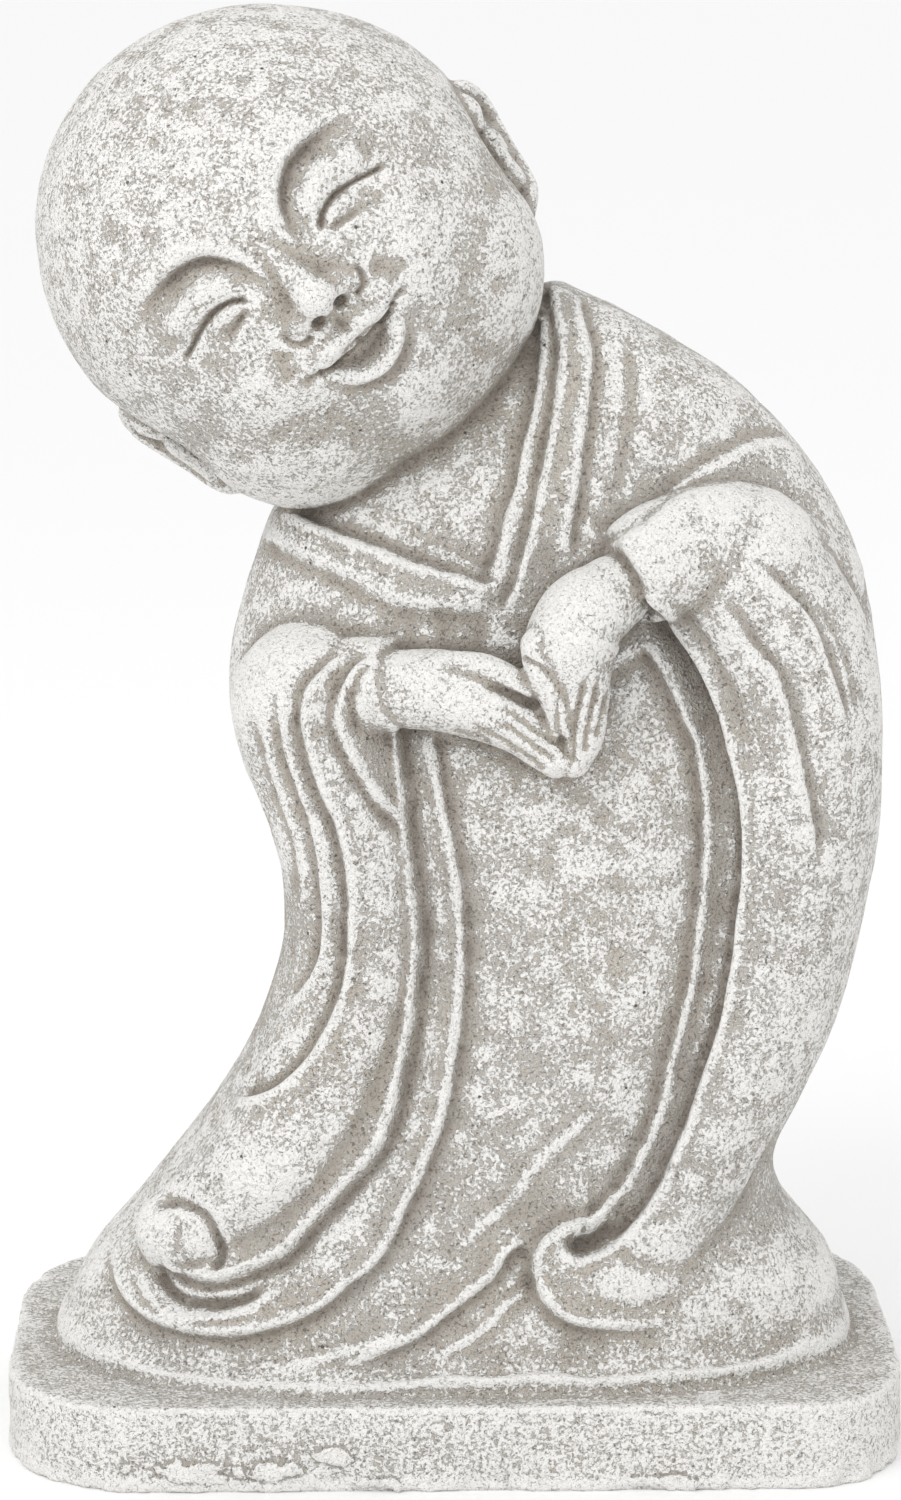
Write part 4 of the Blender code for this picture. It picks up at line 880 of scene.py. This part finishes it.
class Channel:
    """A number that changes over the surface. Arithmetic on it adds Math nodes."""

    def __init__(self, finish, socket):
        self.finish, self.socket = finish, socket

    def maths(self, operation, *values, clamp=False):
        settings = {"operation": operation, "use_clamp": clamp}
        return self.finish.node("ShaderNodeMath", settings, dict(enumerate(values)))

    def __add__(self, other):
        return self.maths("ADD", self, other)

    def __sub__(self, other):
        return self.maths("SUBTRACT", self, other)

    def __rsub__(self, other):
        return self.maths("SUBTRACT", other, self)

    def __mul__(self, other):
        return self.maths("MULTIPLY", self, other)

    def clipped(self):
        return self.maths("ADD", self, 0.0, clamp=True)

    def least(self, other):
        return self.maths("MINIMUM", self, other)

    def from_to(self, low, high):
        """0 below low, 1 above high, smooth between. Either may be a channel."""
        sockets = {"Value": self, "From Min": low, "From Max": high}
        return self.finish.node("ShaderNodeMapRange", {"interpolation_type": "SMOOTHSTEP"}, sockets)

    __radd__ = __add__
    __rmul__ = __mul__


class Finish:
    """A material in the making."""

    def __init__(self, name):
        self.material = bpy.data.materials.new(name)
        self.material.use_nodes = True
        self.tree = self.material.node_tree
        self.shader = self.tree.nodes["Principled BSDF"]
        self.spot = self.node("ShaderNodeTexCoord", {}, {}, "Object")

    def put(self, socket, value):
        if isinstance(value, Channel):
            self.tree.links.new(value.socket, socket)
        else:
            socket.default_value = value

    def node(self, kind, settings, sockets, output=0):
        made = self.tree.nodes.new(kind)
        for name, value in settings.items():
            setattr(made, name, value)
        for name, value in sockets.items():
            self.put(made.inputs[name], value)
        return Channel(self, made.outputs[output])

    def noise(self, size, detail=2.0, roughness=0.5, distortion=0.0, offset=0.0):
        """Soft noise from 0 to 1, in spots of this size in metres."""
        spot = self.spot
        if offset:
            spot = self.node("ShaderNodeVectorMath", {"operation": "ADD"}, {0: spot, 1: (offset,) * 3})
        sockets = {"Vector": spot, "Scale": 1 / size}
        sockets |= {"Detail": detail, "Roughness": roughness, "Distortion": distortion}
        return self.node("ShaderNodeTexNoise", {}, sockets)

    def cells(self, size, output="Distance"):
        """Voronoi cells of this size in metres."""
        return self.node("ShaderNodeTexVoronoi", {}, {"Vector": self.spot, "Scale": 1 / size}, output)

    def value(self, name):
        return self.node("ShaderNodeAttribute", {"attribute_name": name}, {}, "Fac")

    def height(self):
        return self.node("ShaderNodeSeparateXYZ", {}, {"Vector": self.spot}, "Z")

    def mixed(self, share, first, second):
        """The second colour over the first, by a share from 0 to 1."""
        return self.node("ShaderNodeMix", {"data_type": "RGBA"}, {0: share, 6: first, 7: second}, 2)

    def bump(self, height, distance, below=None):
        sockets = {"Strength": 1.0, "Distance": distance, "Height": height}
        if below:
            sockets["Normal"] = below
        return self.node("ShaderNodeBump", {}, sockets)


# Heights where a part of the statue begins, in metres: none of it at the first, all of it at the second
HEAD_FADE = (0.32, 0.37)
PLINTH_FADE = (0.035, 0.028)
HEM_FADE = (0.05, 0.036)
RIM_FADES = ((0.0276, 0.0284), (0.0299, 0.0293))
FOOT_FADE = (0.007, 0.001)
HOLE_SPACING = 0.009
BUMP_DISTANCE = 0.0017


def cast_stone():
    """Warm grey cast stone under brushed, worn limewash, with pinholes, and shade painted into its hollows,
    sheltered places, pinholes and the gaps between its grains.
    """
    stone = bpy.context.scene.monk_stone
    finish = Finish("limewashed_stone")
    colours = (stone.body, stone.warm, stone.shade, stone.hollow_shade, stone.lime)
    body, warm, shade, dark, lime = ((*colour, 1) for colour in colours)
    ridge = finish.value("ridge").least(0.16)
    swell, covered, lumps = finish.value("swell"), finish.value("shelter"), finish.value("crust")
    upward = finish.value("upward").from_to(0.25, 0.9)
    up = finish.height()
    # The hem band gets more limewash and less painted hollow shade: partly the real lime on the hem, partly
    # painted light that lifts the shade at its foot
    on_head, on_plinth, hem = up.from_to(*HEAD_FADE), up.from_to(*PLINTH_FADE), up.from_to(*HEM_FADE)
    rim = up.from_to(*RIM_FADES[0]) * up.from_to(*RIM_FADES[1])
    drift = finish.noise(0.075, 2.0)
    patch = finish.noise(0.022, 3.0, 0.6, offset=3.1)
    crusty = finish.noise(0.006, 2.0, 0.6, 0.6, offset=7.7)
    fleck = finish.noise(stone.fleck_size, 2.5, 0.65, 0.5, offset=1.7)
    sand = finish.noise(0.0009, 1.0, 0.6, offset=5.3)
    speck = finish.noise(0.0011, 2.0, 0.6, 0.8, offset=9.1)

    body = finish.mixed(drift.from_to(0.35, 0.65), body, warm)
    colour = finish.mixed((patch * 0.8 + sand * 1.2 - 0.45).clipped(), shade, body)
    # Painted shade: hollows, sheltered places and the cracks round the lime lumps are darkened towards the
    # dark colour, standing in for the shade that falls there
    hollow_shade = (covered * 0.6 - swell * 0.12 - ridge * 2.2 - 0.2 + sand * 0.3).clipped() * (1 - hem * 0.8)
    hollow_shade = (hollow_shade + lumps * (1 - lumps) * 1.4).clipped()
    colour = finish.mixed(hollow_shade * 0.8, colour, dark)

    calm = 1 - on_plinth * 0.5 - on_head * 0.45
    worn = ridge * (crusty * 1.6 + 0.35) * (1 - on_plinth * 0.55 - hem * 0.3)
    # Painted shade: sheltered places get less limewash so that they read darker
    cut = 0.497 - worn - swell * 0.008 + covered * 0.09 + on_head * 0.03 - hem * 0.09
    cut = cut - ((patch - 0.5) * 0.08 + (drift - 0.5) * 0.05 + (crusty - 0.5) * 0.15) * calm
    cut = cut + (0.5 - stone.lime_cover) - upward * ((1 - on_head) * 0.09 - on_plinth * 0.16)
    cut = cut - up.from_to(*FOOT_FADE) * patch * 0.28 - rim * crusty.from_to(0.3, 0.55) * 0.28
    cut = cut + lumps * (0.8 - lumps * 1.1)
    washed = fleck.from_to(cut - 0.06, cut + 0.09)
    colour = finish.mixed(washed, colour, lime)
    # Painted shade: dark specks in the gaps between the grains, over a real grain relief
    grit_shade = speck.from_to(0.42, 0.3) * (0.75 - washed * 0.35)
    colour = finish.mixed(grit_shade, colour, dark)

    # Pinholes: a shallow dent in the bump, painted dark for the shade inside them
    holes = finish.cells(HOLE_SPACING)
    rare = finish.cells(HOLE_SPACING, "Color")
    pit = holes.from_to(0.075, 0.045) * rare.from_to(0.72, 0.74)
    colour = finish.mixed(pit, colour, dark)
    finish.put(finish.shader.inputs["Base Color"], colour)
    finish.put(finish.shader.inputs["Roughness"], 0.97 - washed * 0.06)
    finish.shader.inputs["Specular IOR Level"].default_value = 0.25
    relief_height = fleck * 0.6 + washed * 0.25 + sand * 0.5 - grit_shade * 0.4 - pit * 1.5
    finish.put(finish.shader.inputs["Normal"], finish.bump(relief_height, BUMP_DISTANCE))
    return finish.material


class FigureSettings(bpy.types.PropertyGroup):
    """Sizes of the sculpted statue."""

    voxel: bpy.props.FloatProperty(
        name="Fineness", description="Smallest detail that the skin can hold", default=0.0011,
        min=0.001, max=0.01, precision=4, unit="LENGTH",
    )
    triangles: bpy.props.IntProperty(
        name="Triangles", description="Most triangles in the finished statue", default=192000,
        min=20000, max=199000,
    )
    grain_depth: bpy.props.FloatProperty(
        name="Grain depth", description="Roughness of the cast surface", default=0.00028, min=0, max=0.002,
        precision=5, unit="LENGTH",
    )
    chip_depth: bpy.props.FloatProperty(
        name="Chip depth", description="Depth of the chips in the plinth's lower edge", default=0.0028,
        min=0, max=0.005, precision=4, unit="LENGTH",
    )


class StoneSettings(bpy.types.PropertyGroup):
    """Colours and sizes of the limewashed stone, and the colour of the shade painted into its hollows."""

    body: bpy.props.FloatVectorProperty(
        name="Stone", description="Bare stone", default=(0.565, 0.54, 0.498), size=3,
        min=0, max=1, subtype="COLOR",
    )
    warm: bpy.props.FloatVectorProperty(
        name="Warm stone", description="Creamy patches of bare stone", default=(0.585, 0.54, 0.472), size=3,
        min=0, max=1, subtype="COLOR",
    )
    shade: bpy.props.FloatVectorProperty(
        name="Weathered stone", description="Darker patches of bare stone", default=(0.415, 0.378, 0.335),
        size=3, min=0, max=1, subtype="COLOR",
    )
    # Painted shade: the colour laid into hollows, sheltered places, pinholes and the gaps between grains
    hollow_shade: bpy.props.FloatVectorProperty(
        name="Hollow shade", description="Stone at the bottom of grooves and pits", default=(0.175, 0.15, 0.126),
        size=3, min=0, max=1, subtype="COLOR",
    )
    lime: bpy.props.FloatVectorProperty(
        name="Limewash", description="Worn limewash on raised places", default=(0.835, 0.824, 0.798), size=3,
        min=0, max=1, subtype="COLOR",
    )
    lime_cover: bpy.props.FloatProperty(
        name="Limewash cover", description="More of the stone is covered at a higher share", default=0.5,
        min=0, max=1, subtype="FACTOR",
    )
    fleck_size: bpy.props.FloatProperty(
        name="Fleck size", description="Width of the limewash flecks", default=0.0013, min=0.0004, max=0.01,
        precision=4, unit="LENGTH",
    )


class StageSettings(bpy.types.PropertyGroup):
    """The studio around the statue."""

    floor: bpy.props.FloatVectorProperty(
        name="Floor", description="Colour of the floor", default=(0.94, 0.94, 0.94), size=3, min=0, max=1,
        subtype="COLOR",
    )
    key: bpy.props.FloatProperty(
        name="Key light", description="Power of the main light, from above and to the left", default=14.0,
        min=0, unit="POWER",
    )
    surround: bpy.props.FloatProperty(
        name="Surround", description="Brightness of the pale surroundings", default=1.0, min=0,
    )


class MONK_OT_statue(bpy.types.Operator):
    """Sculpt the statue over its solid"""

    bl_idname = "monk.statue"
    bl_label = "Sculpt Statue"

    def execute(self, context):
        figure = context.scene.monk_figure
        robe = fused("robe", robe_pieces(), figure.voxel, ROBE_SMOOTHING)
        carve(robe, robe_rise)
        pieces = [robe, *head_pieces(), *hand_pieces(), plinth()]
        statue = fused("limewashed_monk", pieces, figure.voxel, LAST_SMOOTHING)
        carve(statue, face_rise)
        carve(statue, surface_rise)
        statue.modifiers.new("triangles", "TRIANGULATE")
        bake(statue)
        thin = statue.modifiers.new("thin", "DECIMATE")
        thin.ratio = min(1.0, figure.triangles / len(statue.data.polygons))
        bake(statue)
        mesh = statue.data
        if len(mesh.polygons) > MOST_TRIANGLES:
            raise RuntimeError("the statue has too many triangles")
        places = vectors(mesh.vertices, "co")
        places[:, 2] = np.where(places[:, 2] < FLAT_BELOW, 0.0, places[:, 2])
        mesh.vertices.foreach_set("co", places.ravel())
        mesh.update()
        mesh.shade_smooth()
        record_wear_and_shade(mesh)
        mesh.materials.clear()
        mesh.materials.append(cast_stone())
        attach(statue, "root")
        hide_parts("monk_statue")
        return {"FINISHED"}


# Each lamp's place, its share of the key light's power, and its size
LAMPS = (("key", (-0.9, -1.4, 1.9), 1.0, 0.9), ("fill", (0.2, -2.2, 0.1), 0.48, 1.4))
LAMP_AIM = (0, 0, 0.25)
CAMERA_PLACE = (-0.035, -1.81, 0.5933)
CAMERA_AIM = (-0.0008, 0, 0.2399)
CAMERA_LENS = 126.12


def turned_to(obj, aim):
    obj.rotation_euler = (Vector(aim) - obj.location).to_track_quat("-Z", "Y").to_euler()


class MONK_OT_stage(bpy.types.Operator):
    """Set up the floor, the lights and the camera"""

    bl_idname = "monk.stage"
    bl_label = "Set Stage"

    def execute(self, context):
        stage = context.scene.monk_stage
        bm = bmesh.new()
        bmesh.ops.create_grid(bm, x_segments=1, y_segments=1, size=30)
        floor = from_bmesh("floor", bm)
        paint = Finish("floor_paint")
        paint.shader.inputs["Base Color"].default_value = (*stage.floor, 1)
        paint.shader.inputs["Roughness"].default_value = 0.9
        floor.data.materials.append(paint.material)

        for name, place, share, size in LAMPS:
            light = bpy.data.lights.new(name, "AREA")
            light.energy = stage.key * share
            light.size = size
            lamp = new_object(name, light)
            lamp.location = place
            turned_to(lamp, LAMP_AIM)
        world = bpy.data.worlds.new("surround")
        world.use_nodes = True
        world.node_tree.nodes["Background"].inputs["Color"].default_value = (1, 1, 1, 1)
        world.node_tree.nodes["Background"].inputs["Strength"].default_value = stage.surround
        context.scene.world = world
        context.scene.view_settings.view_transform = "Standard"

        camera = new_object("camera", bpy.data.cameras.new("camera"))
        camera.location = CAMERA_PLACE
        turned_to(camera, CAMERA_AIM)
        camera.data.sensor_fit = "VERTICAL"
        camera.data.sensor_height = 36
        camera.data.lens = CAMERA_LENS
        context.scene.camera = camera
        return {"FINISHED"}


class MONK_PT_panel(bpy.types.Panel):
    """The statue's settings and steps"""

    bl_label = "Cast Stone Monk"
    bl_space_type = "VIEW_3D"
    bl_region_type = "UI"
    bl_category = "Monk"

    def draw(self, context):
        for group in GROUPS:
            settings = getattr(context.scene, group)
            for name in settings.bl_rna.properties.keys():
                if name not in {"rna_type", "name"}:
                    self.layout.prop(settings, name)
        for operator in (MONK_OT_statue, MONK_OT_stage):
            self.layout.operator(operator.bl_idname)


GROUPS = {
    "monk_figure": FigureSettings,
    "monk_stone": StoneSettings,
    "monk_stage": StageSettings,
}
CLASSES = (*GROUPS.values(), MONK_OT_statue, MONK_OT_stage, MONK_PT_panel)


def register():
    for cls in CLASSES:
        bpy.utils.register_class(cls)
    for name, group in GROUPS.items():
        setattr(bpy.types.Scene, name, bpy.props.PointerProperty(type=group))


def unregister():
    for name in GROUPS:
        delattr(bpy.types.Scene, name)
    for cls in reversed(CLASSES):
        bpy.utils.unregister_class(cls)


def main():
    register()
    bpy.ops.monk.statue()
    bpy.ops.monk.stage()


if __name__ == "__main__":
    main()
